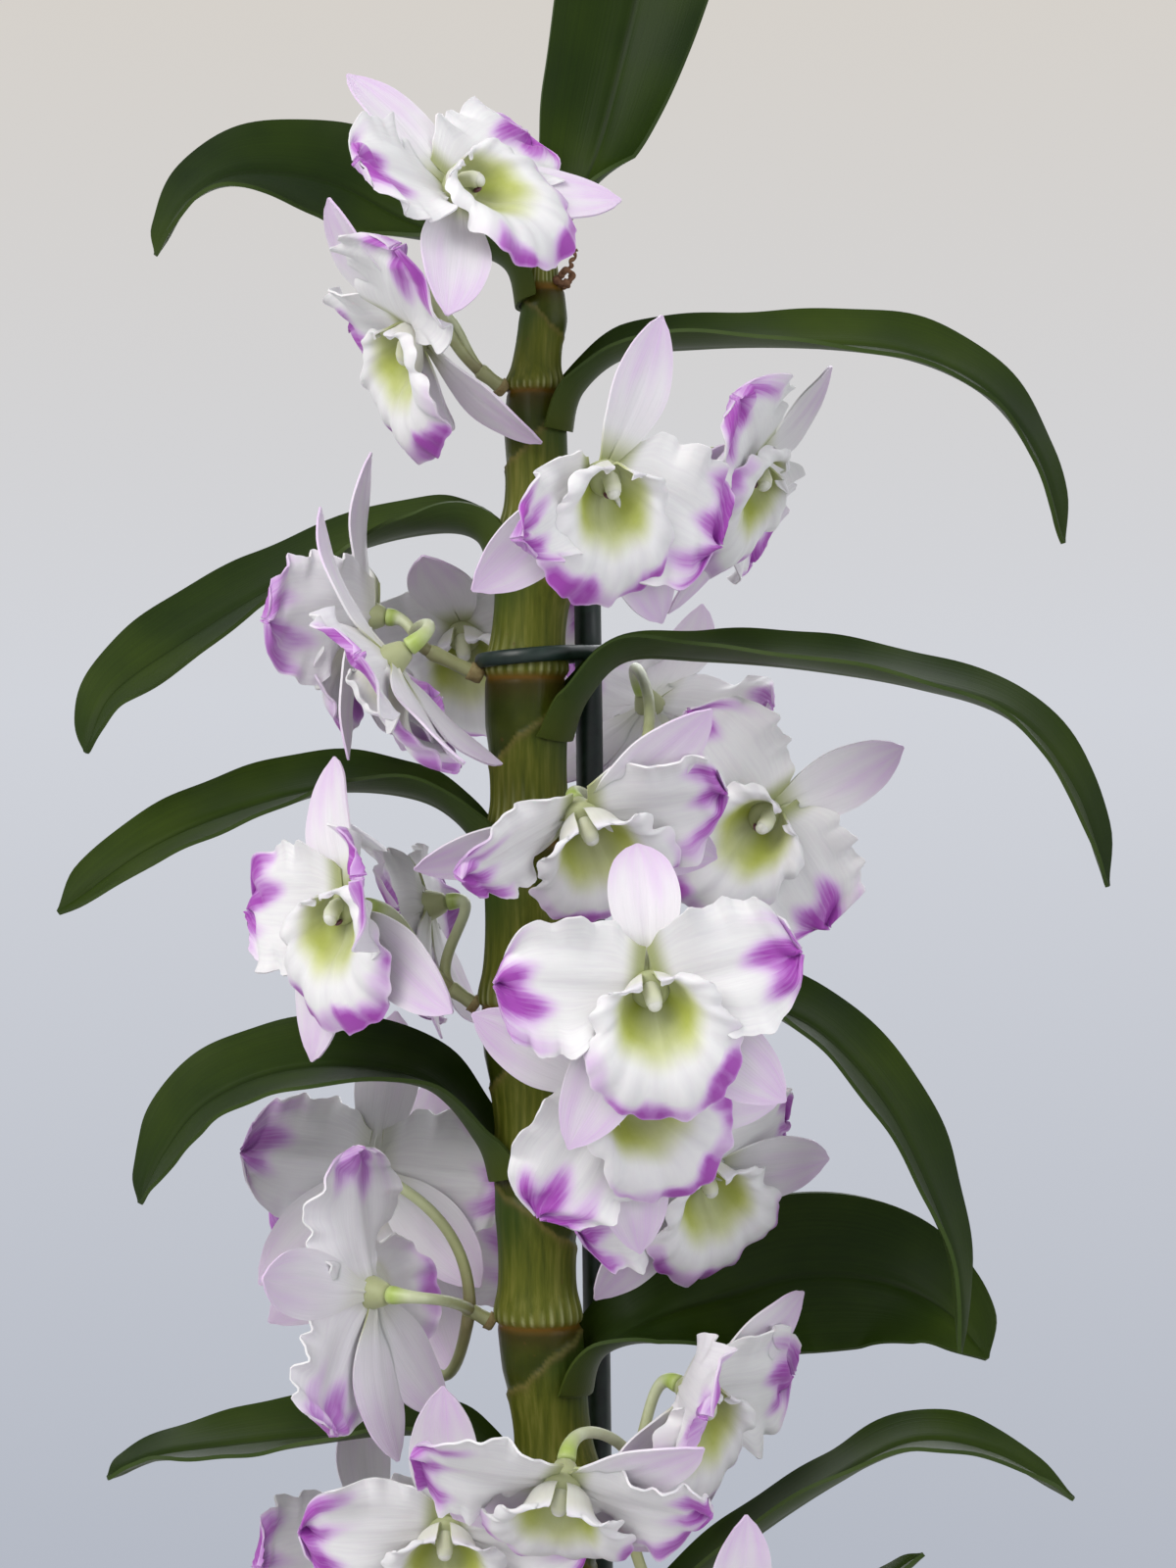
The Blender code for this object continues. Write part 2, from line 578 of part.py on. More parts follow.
def bloom_tepals(bloom):
    """The bloom's sepals and petals, each bent as this bloom bends it."""
    shapes = [
        ("top_sepal", TOP_SEPAL, SEPAL_OUTLINE, SEPAL_GRID),
        ("left_sepal", LEFT_SEPAL, SEPAL_OUTLINE, SEPAL_GRID),
        ("right_sepal", RIGHT_SEPAL, SEPAL_OUTLINE, SEPAL_GRID),
        ("left_petal", LEFT_PETAL, PETAL_OUTLINE, PETAL_GRID),
        ("right_petal", RIGHT_PETAL, PETAL_OUTLINE, PETAL_GRID),
    ]
    turns = bloom.get("turns", (0, 0, 0, 0, 0))
    backs = bloom.get("backs", (0, 0, 0, 0, 0))
    sizes = bloom.get("sizes", (1, 1, 1, 1, 1))
    for (part, shape, outline, grid), turn, back, size in zip(shapes, turns, backs, sizes):
        rise = (shape["rise"][0] - back / 3, shape["rise"][1] - back)
        half = shape["half"] * size
        yield part, dict(shape, turn=shape["turn"] + turn, half=half, rise=rise), outline, grid


def peg(name, sides, back_radius, front_radius, length, matrix, collection):
    """A short tapered peg whose back end stands on the matrix's origin."""
    bm = bmesh.new()
    bmesh.ops.create_cone(
        bm, cap_ends=True, segments=sides, radius1=back_radius, radius2=front_radius,
        depth=length, matrix=matrix @ Matrix.Translation((0, 0, length / 2)),
    )
    mesh = bpy.data.meshes.new(name)
    bm.to_mesh(mesh)
    bm.free()
    return add_object(name, mesh, collection)


def make_bloom(name, bloom, number, collection, finish):
    """Three sepals, two petals and a lip, grown from one heart behind the column."""
    phase = number * 1.7
    parts = new_collection(name + "_parts")
    for i, (part, shape, outline, grid) in enumerate(bloom_tepals(bloom)):
        sheet(part, *grid, tepal_place(shape, outline, phase + i), parts, TEPAL_THICKNESS)
    sheet("lip", *LIP_GRID, lip_place(phase, bloom.get("lip", 0)), parts, LIP_THICKNESS)
    behind = Matrix.Translation((0, 0, -HEART_BACK))
    heart = peg("heart", 6, 0.6 * HEART_RADIUS, HEART_RADIUS, HEART_BACK + HEART_FRONT, behind, collection)
    lean = Matrix.Rotation(math.radians(COLUMN_TILT), 4, "X")
    peg("column", 5, COLUMN_RADIUS * 1.2, COLUMN_RADIUS, COLUMN_LENGTH, lean, parts)
    made = fuse(name, heart, parts, collection, finish)
    made.data.transform(bloom_turn(bloom))
    return made


def smooth_line(start, start_way, end, end_way, count):
    """Points on a smooth line that leaves start and arrives at end in the given directions."""
    reach = (end - start).length * 1.1
    points = []
    for i in range(count):
        t = i / (count - 1)
        points.append(
            start * (2 * t**3 - 3 * t**2 + 1) + start_way * reach * (t**3 - 2 * t**2 + t)
            + end * (3 * t**2 - 2 * t**3) + end_way * reach * (t**3 - t**2)
        )
    return points


def stalk_lines(name, stalk):
    """The stem's line, then one line from its end to the back of each bloom it carries."""
    around, rise = math.radians(stalk["round"]), math.radians(stalk["rise"])
    out = Vector((math.sin(around), -math.cos(around), 0))
    way = out * math.cos(rise) + Vector((0, 0, math.sin(rise)))
    start = cane_axis(stalk["ring"]) + out * (cane_radius(stalk["ring"]) + 2 * GAP)
    fork = start + way * stalk["out"] * MM
    lines = [[start, fork]]
    for bloom_name, bloom in BLOOMS.items():
        if bloom_name[-3:-1] != name[-2:]:
            continue
        turn = bloom_turn(bloom)
        look = (turn.to_3x3() @ Vector((0, 0, 1))).normalized()
        end = turn.translation - look * (HEART_BACK + GAP)
        leave = way + Vector(bloom.get("leave", (0, 0, 0)))
        line = smooth_line(fork - way * 1.5 * MM, leave, end - look * 1.2 * MM, look, PEDICEL_POINTS)
        lines.append([*line, end])
    return lines


def make_stalk(name, stalk, collection, finish):
    """A short stem from a ring of the cane, and a stalk from its end to the back of each bloom."""
    parts = new_collection(name + "_parts")
    stem_line, *pedicel_lines = stalk_lines(name, stalk)
    for line in pedicel_lines:
        tube("pedicel", line, PEDICEL_RADIUS, 6, parts)
    stem = tube("stem", stem_line, STALK_RADIUS, 8, collection)
    return fuse(name, stem, parts, collection, finish)


def main():
    clear_scene()
    orchid = new_collection("dendrobium_orchid")
    cutters = new_collection("cutters")
    leaf_green = material("leaf_green", (0.045, 0.110, 0.025), 0.42)
    cane_green = material("cane_green", (0.150, 0.170, 0.035), 0.45)
    stalk_green = material("stalk_green", (0.400, 0.480, 0.160), 0.5)
    petal_white = material("petal_white", (0.860, 0.800, 0.850), 0.55)
    pot_clay = material("pot_clay", (0.380, 0.150, 0.085), 0.6)
    bark_brown = material("bark_brown", (0.130, 0.065, 0.035), 0.85)
    stake_green = material("stake_green", (0.008, 0.022, 0.016), 0.4)

    make_pot(orchid, pot_clay)
    make_bark(orchid, bark_brown, cutters)
    make_cane(orchid, cane_green)
    make_stake(orchid, stake_green)
    make_tie(orchid, stake_green)
    for name, leaf in LEAVES.items():
        make_leaf(name, leaf, orchid, leaf_green)
    for number, (name, bloom) in enumerate(BLOOMS.items()):
        make_bloom(name, bloom, number, orchid, petal_white)
    for name, stalk in STALKS.items():
        make_stalk(name, stalk, orchid, stalk_green)


main()
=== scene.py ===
"""The looks of a potted dendrobium orchid in bloom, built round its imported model."""

import math
import random

import bpy
import numpy as np
from mathutils import Matrix, Vector


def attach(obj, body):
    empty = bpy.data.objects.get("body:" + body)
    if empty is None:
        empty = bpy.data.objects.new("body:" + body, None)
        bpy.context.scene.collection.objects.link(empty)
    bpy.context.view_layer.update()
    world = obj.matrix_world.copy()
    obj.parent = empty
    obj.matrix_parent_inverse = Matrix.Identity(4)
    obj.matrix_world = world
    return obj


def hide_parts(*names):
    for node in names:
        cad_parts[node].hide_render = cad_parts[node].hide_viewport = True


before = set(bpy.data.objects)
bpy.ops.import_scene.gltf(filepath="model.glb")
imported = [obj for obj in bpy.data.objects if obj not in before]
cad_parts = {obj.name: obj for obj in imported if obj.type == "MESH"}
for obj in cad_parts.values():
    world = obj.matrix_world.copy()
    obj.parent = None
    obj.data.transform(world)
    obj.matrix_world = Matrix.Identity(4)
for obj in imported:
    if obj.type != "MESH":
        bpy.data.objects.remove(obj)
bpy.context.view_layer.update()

bpy.ops.object.select_all(action="DESELECT")

# Camera, floor and light: the photograph looks level at the cane from 0.72 m in front. Daylight
# comes soft from a window at the left, over a plain wall that is warm above and bluish below.
MM = 0.001
CAMERA_PLACE = (3.3 * MM, -720 * MM, 391 * MM)
CAMERA_LENS = 73.64
FLOOR_RADIUS = 0.42
FLOOR_COLOUR = (0.62, 0.62, 0.64, 1)
WALL_TOP = (0.676, 0.638, 0.586)
WALL_MIDDLE = (0.638, 0.656, 0.704)
WALL_BOTTOM = (0.444, 0.474, 0.544)
WALL_MIDDLE_AT = 0.55
WALL_SLOPE = 0.26
GLOW_COLOUR = (0.97, 0.975, 1.0, 1)
GLOW_STRENGTH = 0.66
PLANT_MIDDLE = Vector((0, 0, 380 * MM))


def fill(tree, node, inputs):
    """Sets a node's inputs to values, or links those whose value is a socket."""
    for name, value in inputs.items():
        if isinstance(value, bpy.types.NodeSocket):
            tree.links.new(value, node.inputs[name])
        else:
            node.inputs[name].default_value = value


def linked(tree, kind, inputs=None, **settings):
    """A new node with its settings and its inputs filled."""
    node = tree.nodes.new(kind)
    for name, value in settings.items():
        setattr(node, name, value)
    fill(tree, node, inputs or {})
    return node


def mapped(tree, value, low, high):
    """A share that goes from 0 to 1 while the value goes from low to high."""
    return linked(tree, "ShaderNodeMapRange", {
        "Value": value, "From Min": low, "From Max": high}).outputs[0]


def ramp(tree, value, stops):
    """A colour ramp over a socket, from (place, colour) stops."""
    node = linked(tree, "ShaderNodeValToRGB", {"Fac": value})
    elements = node.color_ramp.elements
    elements[0].position, elements[0].color = stops[0][0], (*stops[0][1], 1)
    elements[1].position, elements[1].color = stops[-1][0], (*stops[-1][1], 1)
    for at, colour in stops[1:-1]:
        elements.new(at).color = (*colour, 1)
    return node.outputs["Color"]


def finish_with(name):
    """A material with its node tree and Principled shader."""
    made = bpy.data.materials.new(name)
    made.use_nodes = True
    return made, made.node_tree, made.node_tree.nodes["Principled BSDF"]


bpy.ops.object.camera_add(location=CAMERA_PLACE, rotation=(math.pi / 2, 0, 0))
camera = bpy.context.active_object
camera.name = "camera"
camera.data.lens = CAMERA_LENS
camera.data.clip_start = 0.01
bpy.context.scene.camera = camera
bpy.context.scene.view_settings.view_transform = "Standard"

bpy.ops.mesh.primitive_circle_add(vertices=96, radius=FLOOR_RADIUS, fill_type="NGON")
floor = bpy.context.active_object
floor.name = "floor"
floor_paint, tree, shader = finish_with("pale_floor")
fill(tree, shader, {"Base Color": FLOOR_COLOUR, "Roughness": 0.8})
floor.data.materials.append(floor_paint)

world = bpy.data.worlds.new("room")
world.use_nodes = True
bpy.context.scene.world = world
tree = world.node_tree
tree.nodes.clear()
ways = linked(tree, "ShaderNodeTexCoord").outputs["Generated"]
up = linked(tree, "ShaderNodeSeparateXYZ", {"Vector": ways}).outputs["Z"]
wall = ramp(tree, mapped(tree, up, -WALL_SLOPE, WALL_SLOPE), [
    (0, WALL_BOTTOM), (WALL_MIDDLE_AT, WALL_MIDDLE), (1, WALL_TOP)])
seen = linked(tree, "ShaderNodeBackground", {"Color": wall})
glow = linked(tree, "ShaderNodeBackground", {"Color": GLOW_COLOUR, "Strength": GLOW_STRENGTH})
path = linked(tree, "ShaderNodeLightPath")
both = linked(tree, "ShaderNodeMixShader", {
    0: path.outputs["Is Camera Ray"], 1: glow.outputs[0], 2: seen.outputs[0]})
linked(tree, "ShaderNodeOutputWorld", {"Surface": both.outputs[0]})


def lamp(name, place, size, watts, colour):
    """A soft square lamp that shines at the middle of the plant."""
    bpy.ops.object.light_add(type="AREA", location=place)
    light = bpy.context.active_object
    light.name = name
    light.data.size = size
    light.data.energy = watts
    light.data.color = colour
    light.rotation_euler = (PLANT_MIDDLE - light.location).to_track_quat("-Z", "Y").to_euler()


lamp("window", (-0.9, -1.1, 1.35), 1.1, 20, (1.0, 0.985, 0.955))
lamp("room_light", (1.4, -0.9, 0.7), 1.2, 6, (0.93, 0.96, 1.0))
lamp("wall_light", (0.2, 1.5, 1.1), 1.2, 12, (0.95, 0.97, 1.0))

# Pot: a plain pot of matte terracotta-coloured plastic, turned, with a rolled rim. It stands on
# its flat base and is filled with bark to just under the rim.
POT_HEIGHT = 108 * MM
POT_BASE_RADIUS = 44 * MM
POT_TOP_RADIUS = 58 * MM
RIM_HEIGHT = 13 * MM
RIM_OVERHANG = 3 * MM
POT_WALL = 2 * MM
POT_SIDES = 128


def pot_radius(height):
    return POT_BASE_RADIUS + (POT_TOP_RADIUS - POT_BASE_RADIUS) * height / POT_HEIGHT


def rounded(piece):
    piece.data.polygons.foreach_set("use_smooth", [True] * len(piece.data.polygons))
    return piece


def faced_out():
    """Turns all faces of the edited shape outward and leaves edit mode."""
    bpy.ops.mesh.select_all(action="SELECT")
    bpy.ops.mesh.normals_make_consistent(inside=False)
    bpy.ops.object.mode_set(mode="OBJECT")


def turned_piece(name, profile):
    """A turned shape: a circle pulled up its profile of (radius, height) ring by ring."""
    radius, height = profile[0]
    bpy.ops.mesh.primitive_circle_add(
        vertices=POT_SIDES, radius=radius, fill_type="NGON", location=(0, 0, height))
    piece = bpy.context.active_object
    piece.name = name
    bpy.ops.object.mode_set(mode="EDIT")
    bpy.ops.mesh.select_all(action="SELECT")
    for (radius, height), (wider, higher) in zip(profile, profile[1:]):
        share = wider / radius
        step = (0, 0, higher - height)
        bpy.ops.mesh.extrude_region_move(TRANSFORM_OT_translate={"value": step})
        bpy.ops.transform.resize(value=(share, share, 1), center_override=(0, 0, higher))
    faced_out()
    bpy.ops.object.transform_apply(location=True, rotation=True, scale=True)
    return rounded(piece)


rim_foot = POT_HEIGHT - RIM_HEIGHT
rim_out = POT_TOP_RADIUS + RIM_OVERHANG
inside = POT_TOP_RADIUS - POT_WALL
pot_profile = [
    (POT_BASE_RADIUS - 1.2 * MM, 0), (POT_BASE_RADIUS - 0.3 * MM, 0.3 * MM),
    (pot_radius(1.4 * MM), 1.4 * MM), (pot_radius(30 * MM), 30 * MM),
    (pot_radius(62 * MM), 62 * MM), (pot_radius(rim_foot) - 0.2 * MM, rim_foot - 0.4 * MM),
    (pot_radius(rim_foot) + 0.3 * MM, rim_foot), (rim_out - 1.2 * MM, rim_foot),
    (rim_out - 0.5 * MM, rim_foot + 0.6 * MM), (rim_out - 0.1 * MM, rim_foot + 4 * MM),
    (rim_out, POT_HEIGHT - 2 * MM), (rim_out - 0.5 * MM, POT_HEIGHT - 0.6 * MM),
    (rim_out - 1.4 * MM, POT_HEIGHT - 0.1 * MM), (inside + 1.2 * MM, POT_HEIGHT - 0.1 * MM),
    (inside + 0.3 * MM, POT_HEIGHT - 0.8 * MM), (inside, POT_HEIGHT - 3 * MM),
    (inside - 2.6 * MM, POT_HEIGHT - 24 * MM),
]
pot = turned_piece("plain_pot", pot_profile)


def object_place(tree):
    """Where each point lies on the object, in the object's own space."""
    return linked(tree, "ShaderNodeTexCoord").outputs["Object"]


def noise(tree, vector, scale, detail=3.0, roughness=0.55):
    return linked(tree, "ShaderNodeTexNoise", {
        "Vector": vector, "Scale": scale, "Detail": detail, "Roughness": roughness}).outputs["Fac"]


def embossed(tree, shader, height, distance, strength):
    """A bump on the shader from a height socket."""
    bump = linked(tree, "ShaderNodeBump", {
        "Height": height, "Distance": distance, "Strength": strength})
    fill(tree, shader, {"Normal": bump.outputs["Normal"]})


pot_clay, tree, shader = finish_with("pot_clay")
mottle = noise(tree, object_place(tree), 38.0)
fill(tree, shader, {
    "Base Color": ramp(tree, mottle, [
        (0.25, (0.30, 0.105, 0.055)), (0.55, (0.40, 0.155, 0.085)), (0.8, (0.47, 0.205, 0.125))]),
    "Roughness": ramp(tree, mottle, [(0.2, (0.5,) * 3), (0.9, (0.72,) * 3)])})
embossed(tree, shader, noise(tree, object_place(tree), 900.0), 0.12 * MM, 0.5)
pot.data.materials.append(pot_clay)
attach(pot, "root")
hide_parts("pot")

# Bark: chips of pine bark, coarse and reddish brown, heaped loosely over the pot's filling of
# finer bark and darker where they are damp.
BARK_LEVEL = 95 * MM
BARK_CHIPS = 190
CHIP_SIZE = (7 * MM, 13 * MM)
CHIP_SLANT = 0.45
CANE_CLEAR = 13.5 * MM
STAKE_SPOT = (8 * MM, 14.6 * MM)
STAKE_CLEAR = 8 * MM
FILLING_DEPTH = 8 * MM
FILLING_RELIEF = 1.2 * MM

bpy.ops.mesh.primitive_circle_add(
    vertices=96, radius=inside - 1.6 * MM, fill_type="NGON", location=(0, 0, 0))
filling = bpy.context.active_object
bpy.ops.object.mode_set(mode="EDIT")
for ring in range(5):
    bpy.ops.mesh.inset(thickness=0.17 * inside)
bpy.ops.mesh.select_all(action="SELECT")
bpy.ops.mesh.subdivide(number_cuts=2)
bpy.ops.mesh.extrude_region_move(TRANSFORM_OT_translate={"value": (0, 0, FILLING_DEPTH)})
faced_out()
chance = random.Random(11)
for vertex in filling.data.vertices:
    vertex.co.z += BARK_LEVEL - FILLING_DEPTH
    if vertex.co.z > BARK_LEVEL - FILLING_DEPTH / 2:
        vertex.co.z += chance.uniform(-1, 1) * FILLING_RELIEF


def bark_chip(number):
    """One chip: a flat, cracked, uneven block with worn edges, lying at its own slant."""
    bpy.ops.mesh.primitive_cube_add(size=1)
    chip = bpy.context.active_object
    bpy.ops.object.mode_set(mode="EDIT")
    bpy.ops.mesh.subdivide(number_cuts=2)
    bpy.ops.object.mode_set(mode="OBJECT")
    size = chance.uniform(*CHIP_SIZE)
    flat = (size, size * chance.uniform(0.5, 0.85), size * chance.uniform(0.2, 0.36))
    for vertex in chip.data.vertices:
        corner = sum(abs(c) > 0.4 for c in vertex.co)
        worn = 1 - 0.13 * max(corner - 1, 0)
        vertex.co = Vector([
            c * s * worn * chance.uniform(0.86, 1.12) for c, s in zip(vertex.co, flat)])
    while True:
        radius = inside * math.sqrt(chance.uniform(0.0, 0.80))
        angle = chance.uniform(0, math.tau)
        x, y = radius * math.cos(angle), radius * math.sin(angle)
        if math.hypot(x, y) > CANE_CLEAR and math.dist((x, y), STAKE_SPOT) > STAKE_CLEAR:
            break
    slant = (
        Matrix.Translation((x, y, BARK_LEVEL + (1 + 3.5 * (number % 3) / 2) * MM))
        @ Matrix.Rotation(chance.uniform(0, math.tau), 4, "Z")
        @ Matrix.Rotation(chance.uniform(-CHIP_SLANT, CHIP_SLANT), 4, "X")
        @ Matrix.Rotation(chance.uniform(-CHIP_SLANT, CHIP_SLANT), 4, "Y")
    )
    chip.data.transform(slant)
    return chip


def joined(name, pieces):
    """One object from several, each of which keeps its own materials."""
    bpy.ops.object.select_all(action="DESELECT")
    for piece in pieces:
        piece.select_set(True)
    bpy.context.view_layer.objects.active = pieces[0]
    bpy.ops.object.join()
    bpy.ops.object.select_all(action="DESELECT")
    pieces[0].name = name
    pieces[0].data.name = name
    return pieces[0]


def blended(tree, share, first, second, mode="MIX"):
    """A colour mixed from two, each a colour or a socket, by a share."""
    node = linked(tree, "ShaderNodeMix", data_type="RGBA", blend_type=mode)
    for socket, value in ((0, share), (6, first), (7, second)):
        fill(tree, node, {socket: (*value, 1) if isinstance(value, tuple) else value})
    return node.outputs[2]


bark = joined("bark_chips", [filling] + [bark_chip(number) for number in range(BARK_CHIPS)])
bark.data.transform(bark.matrix_world)
bark.matrix_world = Matrix.Identity(4)
bark_brown, tree, shader = finish_with("bark_brown")
place = object_place(tree)
patches = noise(tree, place, 95.0, 4.0)
flattened = linked(tree, "ShaderNodeMapping", {"Vector": place, "Scale": (1, 1, 5)})
fibres = noise(tree, flattened.outputs["Vector"], 420.0, 5.0, 0.7)
bark_colour = ramp(tree, patches, [
    (0.28, (0.030, 0.014, 0.008)), (0.5, (0.105, 0.048, 0.024)), (0.72, (0.21, 0.115, 0.062))])
fibre_shade = ramp(tree, fibres, [(0.3, (0.35,) * 3), (0.7, (1.0,) * 3)])
fill(tree, shader, {
    "Base Color": blended(tree, 0.55, bark_colour, fibre_shade, "MULTIPLY"), "Roughness": 0.88})
embossed(tree, shader, fibres, 0.8 * MM, 0.8)
bark.data.materials.append(bark_brown)
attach(bark, "root")
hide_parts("bark")

# Cane: one thick green stem, swollen at its rings. Above each ring a leaf's sheath clings to it,
# pale ribbed at the foot, slanting open at the top with a dried brown edge, and the glossy darker
# stem shows bare between the sheath's mouth and the next ring.
CANE_FOOT = 62
CANE_TOP = 513
CANE_AXIS = [
    (40, 0.0), (104, 0.0), (165, -0.8), (235, -4.5), (300, -8.8),
    (350, -10.8), (410, -10.0), (465, -8.2), (530, -6.8),
]
CANE_RINGS = [114, 132, 162, 198, 235, 270, 305, 341, 378, 415, 446, 479, 502]
CANE_RING_RADIUS = [7.4, 8.0, 8.8, 9.1, 9.2, 9.3, 9.2, 9.2, 9.3, 9.0, 8.4, 6.2, 4.4]
CANE_ZIGZAG = 0.9
CANE_WAIST = 0.9
CANE_STEP = 0.8
CANE_SIDES = 96
SHEATH_SHARE = 0.72
SHEATH_SLANT = 0.20
SHEATH_THICKNESS = 0.40
SHEATH_RIBS = 26


def between(table, at):
    """Smooth values read from (place, value) pairs at an array of places."""
    places = np.array([place for place, _ in table], float)
    values = np.array([value for _, value in table], float)
    at = np.clip(np.asarray(at, float), places[0], places[-1])
    i = np.clip(np.searchsorted(places, at, side="right") - 1, 0, len(places) - 2)
    x = np.concatenate([[2 * places[0] - places[1]], places, [2 * places[-1] - places[-2]]])
    y = np.concatenate([values[:1], values, values[-1:]])
    step = x[i + 2] - x[i + 1]
    t = (at - x[i + 1]) / step
    slope_0 = (y[i + 2] - y[i]) / (x[i + 2] - x[i]) * step
    slope_1 = (y[i + 3] - y[i + 1]) / (x[i + 3] - x[i + 1]) * step
    return (
        y[i + 1] * (2 * t**3 - 3 * t**2 + 1) + slope_0 * (t**3 - 2 * t**2 + t)
        + y[i + 2] * (3 * t**2 - 2 * t**3) + slope_1 * (t**3 - t**2)
    )


def smoothstep(low, high, value):
    t = np.clip((value - low) / (high - low), 0, 1)
    return t * t * (3 - 2 * t)


def cane_axis(height):
    """The middle of the cane at heights in mm, as points in metres."""
    height = np.asarray(height, float)
    turn = np.zeros_like(height)
    for i, (low, high) in enumerate(zip(CANE_RINGS, CANE_RINGS[1:])):
        step = -1 if i % 2 else 1
        inner = (height >= low) & (height <= high)
        swing = step * CANE_ZIGZAG * np.cos(np.pi * (height - low) / (high - low))
        turn = np.where(inner, swing, turn)
    x = between(CANE_AXIS, height) + turn
    return np.stack([x, np.zeros_like(height), height], -1) * MM


def cane_radius(height):
    """The bare cane's radius at heights in mm, in metres."""
    height = np.asarray(height, float)
    plain = np.interp(height, CANE_RINGS, CANE_RING_RADIUS)
    share, _ = internode(height)
    waist = 1 - (1 - CANE_WAIST) * np.sin(np.pi * np.minimum(share / 0.7, 1.0))
    tip = np.clip((height - CANE_RINGS[-1]) / (CANE_TOP - CANE_RINGS[-1]), 0, 1)
    radius = np.where((height > CANE_RINGS[0]) & (height < CANE_RINGS[-1]), plain * waist, plain)
    return radius * (1 - 0.35 * tip) * MM


def internode(height):
    """How far each height is between the rings below and above it, and that stretch's number."""
    number = np.clip(np.searchsorted(CANE_RINGS, height, side="right") - 1, 0, len(CANE_RINGS) - 2)
    low = np.take(CANE_RINGS, number)
    high = np.take(CANE_RINGS, number + 1)
    return np.clip((height - low) / (high - low), 0, 1), number


cane_levels = np.concatenate([
    np.arange(CANE_FOOT, CANE_TOP - 2.5, CANE_STEP),
    CANE_TOP - np.array([2.2, 1.5, 0.9, 0.45, 0.15, 0.0])])
cane_close = np.interp(
    cane_levels, CANE_TOP - np.array([2.5, 1.5, 0.9, 0.45, 0.15, 0.0]),
    [1, 0.93, 0.8, 0.6, 0.33, 0.04])


def cane_place(u, v):
    """The cane's skin: rings of points up the stem, thicker where a sheath covers it."""
    level = np.round(u * (len(cane_levels) - 1)).astype(int)
    height = cane_levels[level]
    angle = np.pi * v
    share, number = internode(height)
    leafy = np.where(number % 2 == 0, 0.0, np.pi)
    toward_leaf = np.cos(angle - leafy)
    torn = 0.012 * np.sin(5 * angle + 2.1 * number) + 0.006 * np.sin(13 * angle + 4.7 * number)
    mouth = SHEATH_SHARE + SHEATH_SLANT * toward_leaf + torn + 0.05 * np.sin(3.7 * number)
    mouth = np.where((height < CANE_RINGS[2]), 0.86, mouth)
    sheath = smoothstep(0.0, 0.03, share) * (1 - smoothstep(mouth - 0.012, mouth + 0.012, share))
    neck = smoothstep(CANE_RINGS[-1] + 0.5, CANE_RINGS[-1] + 1.5, height)
    edge = np.exp(-(((share - mouth) / 0.035) ** 2))
    flare = np.exp(-(((share - 0.09) / 0.09) ** 2))
    rib_angle = angle + 0.03 * np.sin(3 * angle + number)
    ribs = np.cos(SHEATH_RIBS * rib_angle)
    rib_number = np.round(SHEATH_RIBS * rib_angle / math.tau) % SHEATH_RIBS
    rib_end = 0.26 + 0.16 * np.sin(12.9 * rib_number + 7.3 * number)
    rib_fade = np.maximum(1 - smoothstep(0.04, rib_end, share), neck)
    rib_height = sheath * (0.02 + 0.16 * rib_fade)
    ring = np.exp(-((share / 0.022) ** 2)) + np.exp(-(((share - 1.0) / 0.022) ** 2)) * (1 - neck)
    out = cane_radius(height) + MM * (
        sheath * (SHEATH_THICKNESS + 0.55 * flare + 0.25 * edge) + rib_height * ribs - 0.25 * ring)
    bulge = np.exp(-(((height - 494) / 5.5) ** 2)) * (1 - sheath)
    out = out * cane_close[level] * (1 + 0.16 * bulge)
    spoke = np.stack([np.cos(angle), np.sin(angle), np.zeros_like(angle)], -1)
    points = cane_axis(height) + spoke * out[:, None]
    rib_light = np.maximum(sheath, neck) * (0.5 + 0.5 * ribs) ** 5 * rib_fade
    tints = np.stack([np.maximum(sheath, neck), edge * sheath, np.clip(ring, 0, 1), rib_light], -1)
    leaf_green = sheath * smoothstep(0.45, 1.0, share + 0.35 * toward_leaf)
    under_ring = (1 - sheath) * (1 - neck) * smoothstep(0.80, 1.0, share)
    growth = np.stack([leaf_green, under_ring, np.zeros_like(share), np.ones_like(share)], -1)
    return points, tints, growth


def grown_sheet(name, columns, rows, place):
    """A grid laid out by place(u along 0 to 1, v across -1 to 1), which gives points and tints."""
    bpy.ops.mesh.primitive_grid_add(x_subdivisions=columns, y_subdivisions=rows, size=2)
    piece = bpy.context.active_object
    piece.name = name
    count = len(piece.data.vertices)
    flat = np.empty(count * 3, np.float32)
    piece.data.vertices.foreach_get("co", flat)
    flat = flat.reshape(-1, 3)
    points, *tints = place((flat[:, 1].astype(float) + 1) / 2, -flat[:, 0].astype(float))
    piece.data.vertices.foreach_set("co", points.astype(np.float32).ravel())
    for attribute, values in zip(("tints", "growth"), tints):
        paint = piece.data.attributes.new(attribute, "FLOAT_COLOR", "POINT")
        paint.data.foreach_set("color", values.astype(np.float32).ravel())
    piece.data.update()
    return piece


def closed_tube(piece):
    """Merges the seam of a sheet that was rolled into a tube and caps its ends."""
    bpy.context.view_layer.objects.active = piece
    bpy.ops.object.mode_set(mode="EDIT")
    bpy.ops.mesh.select_all(action="SELECT")
    bpy.ops.mesh.remove_doubles(threshold=0.01 * MM)
    bpy.ops.mesh.select_all(action="DESELECT")
    bpy.ops.mesh.select_non_manifold(extend=False)
    bpy.ops.mesh.fill_holes(sides=0)
    faced_out()
    return piece


cane = closed_tube(grown_sheet("cane_with_sheaths", CANE_SIDES, len(cane_levels) - 1, cane_place))
rounded(cane)


def unit(vectors):
    return vectors / np.linalg.norm(vectors, axis=-1, keepdims=True)


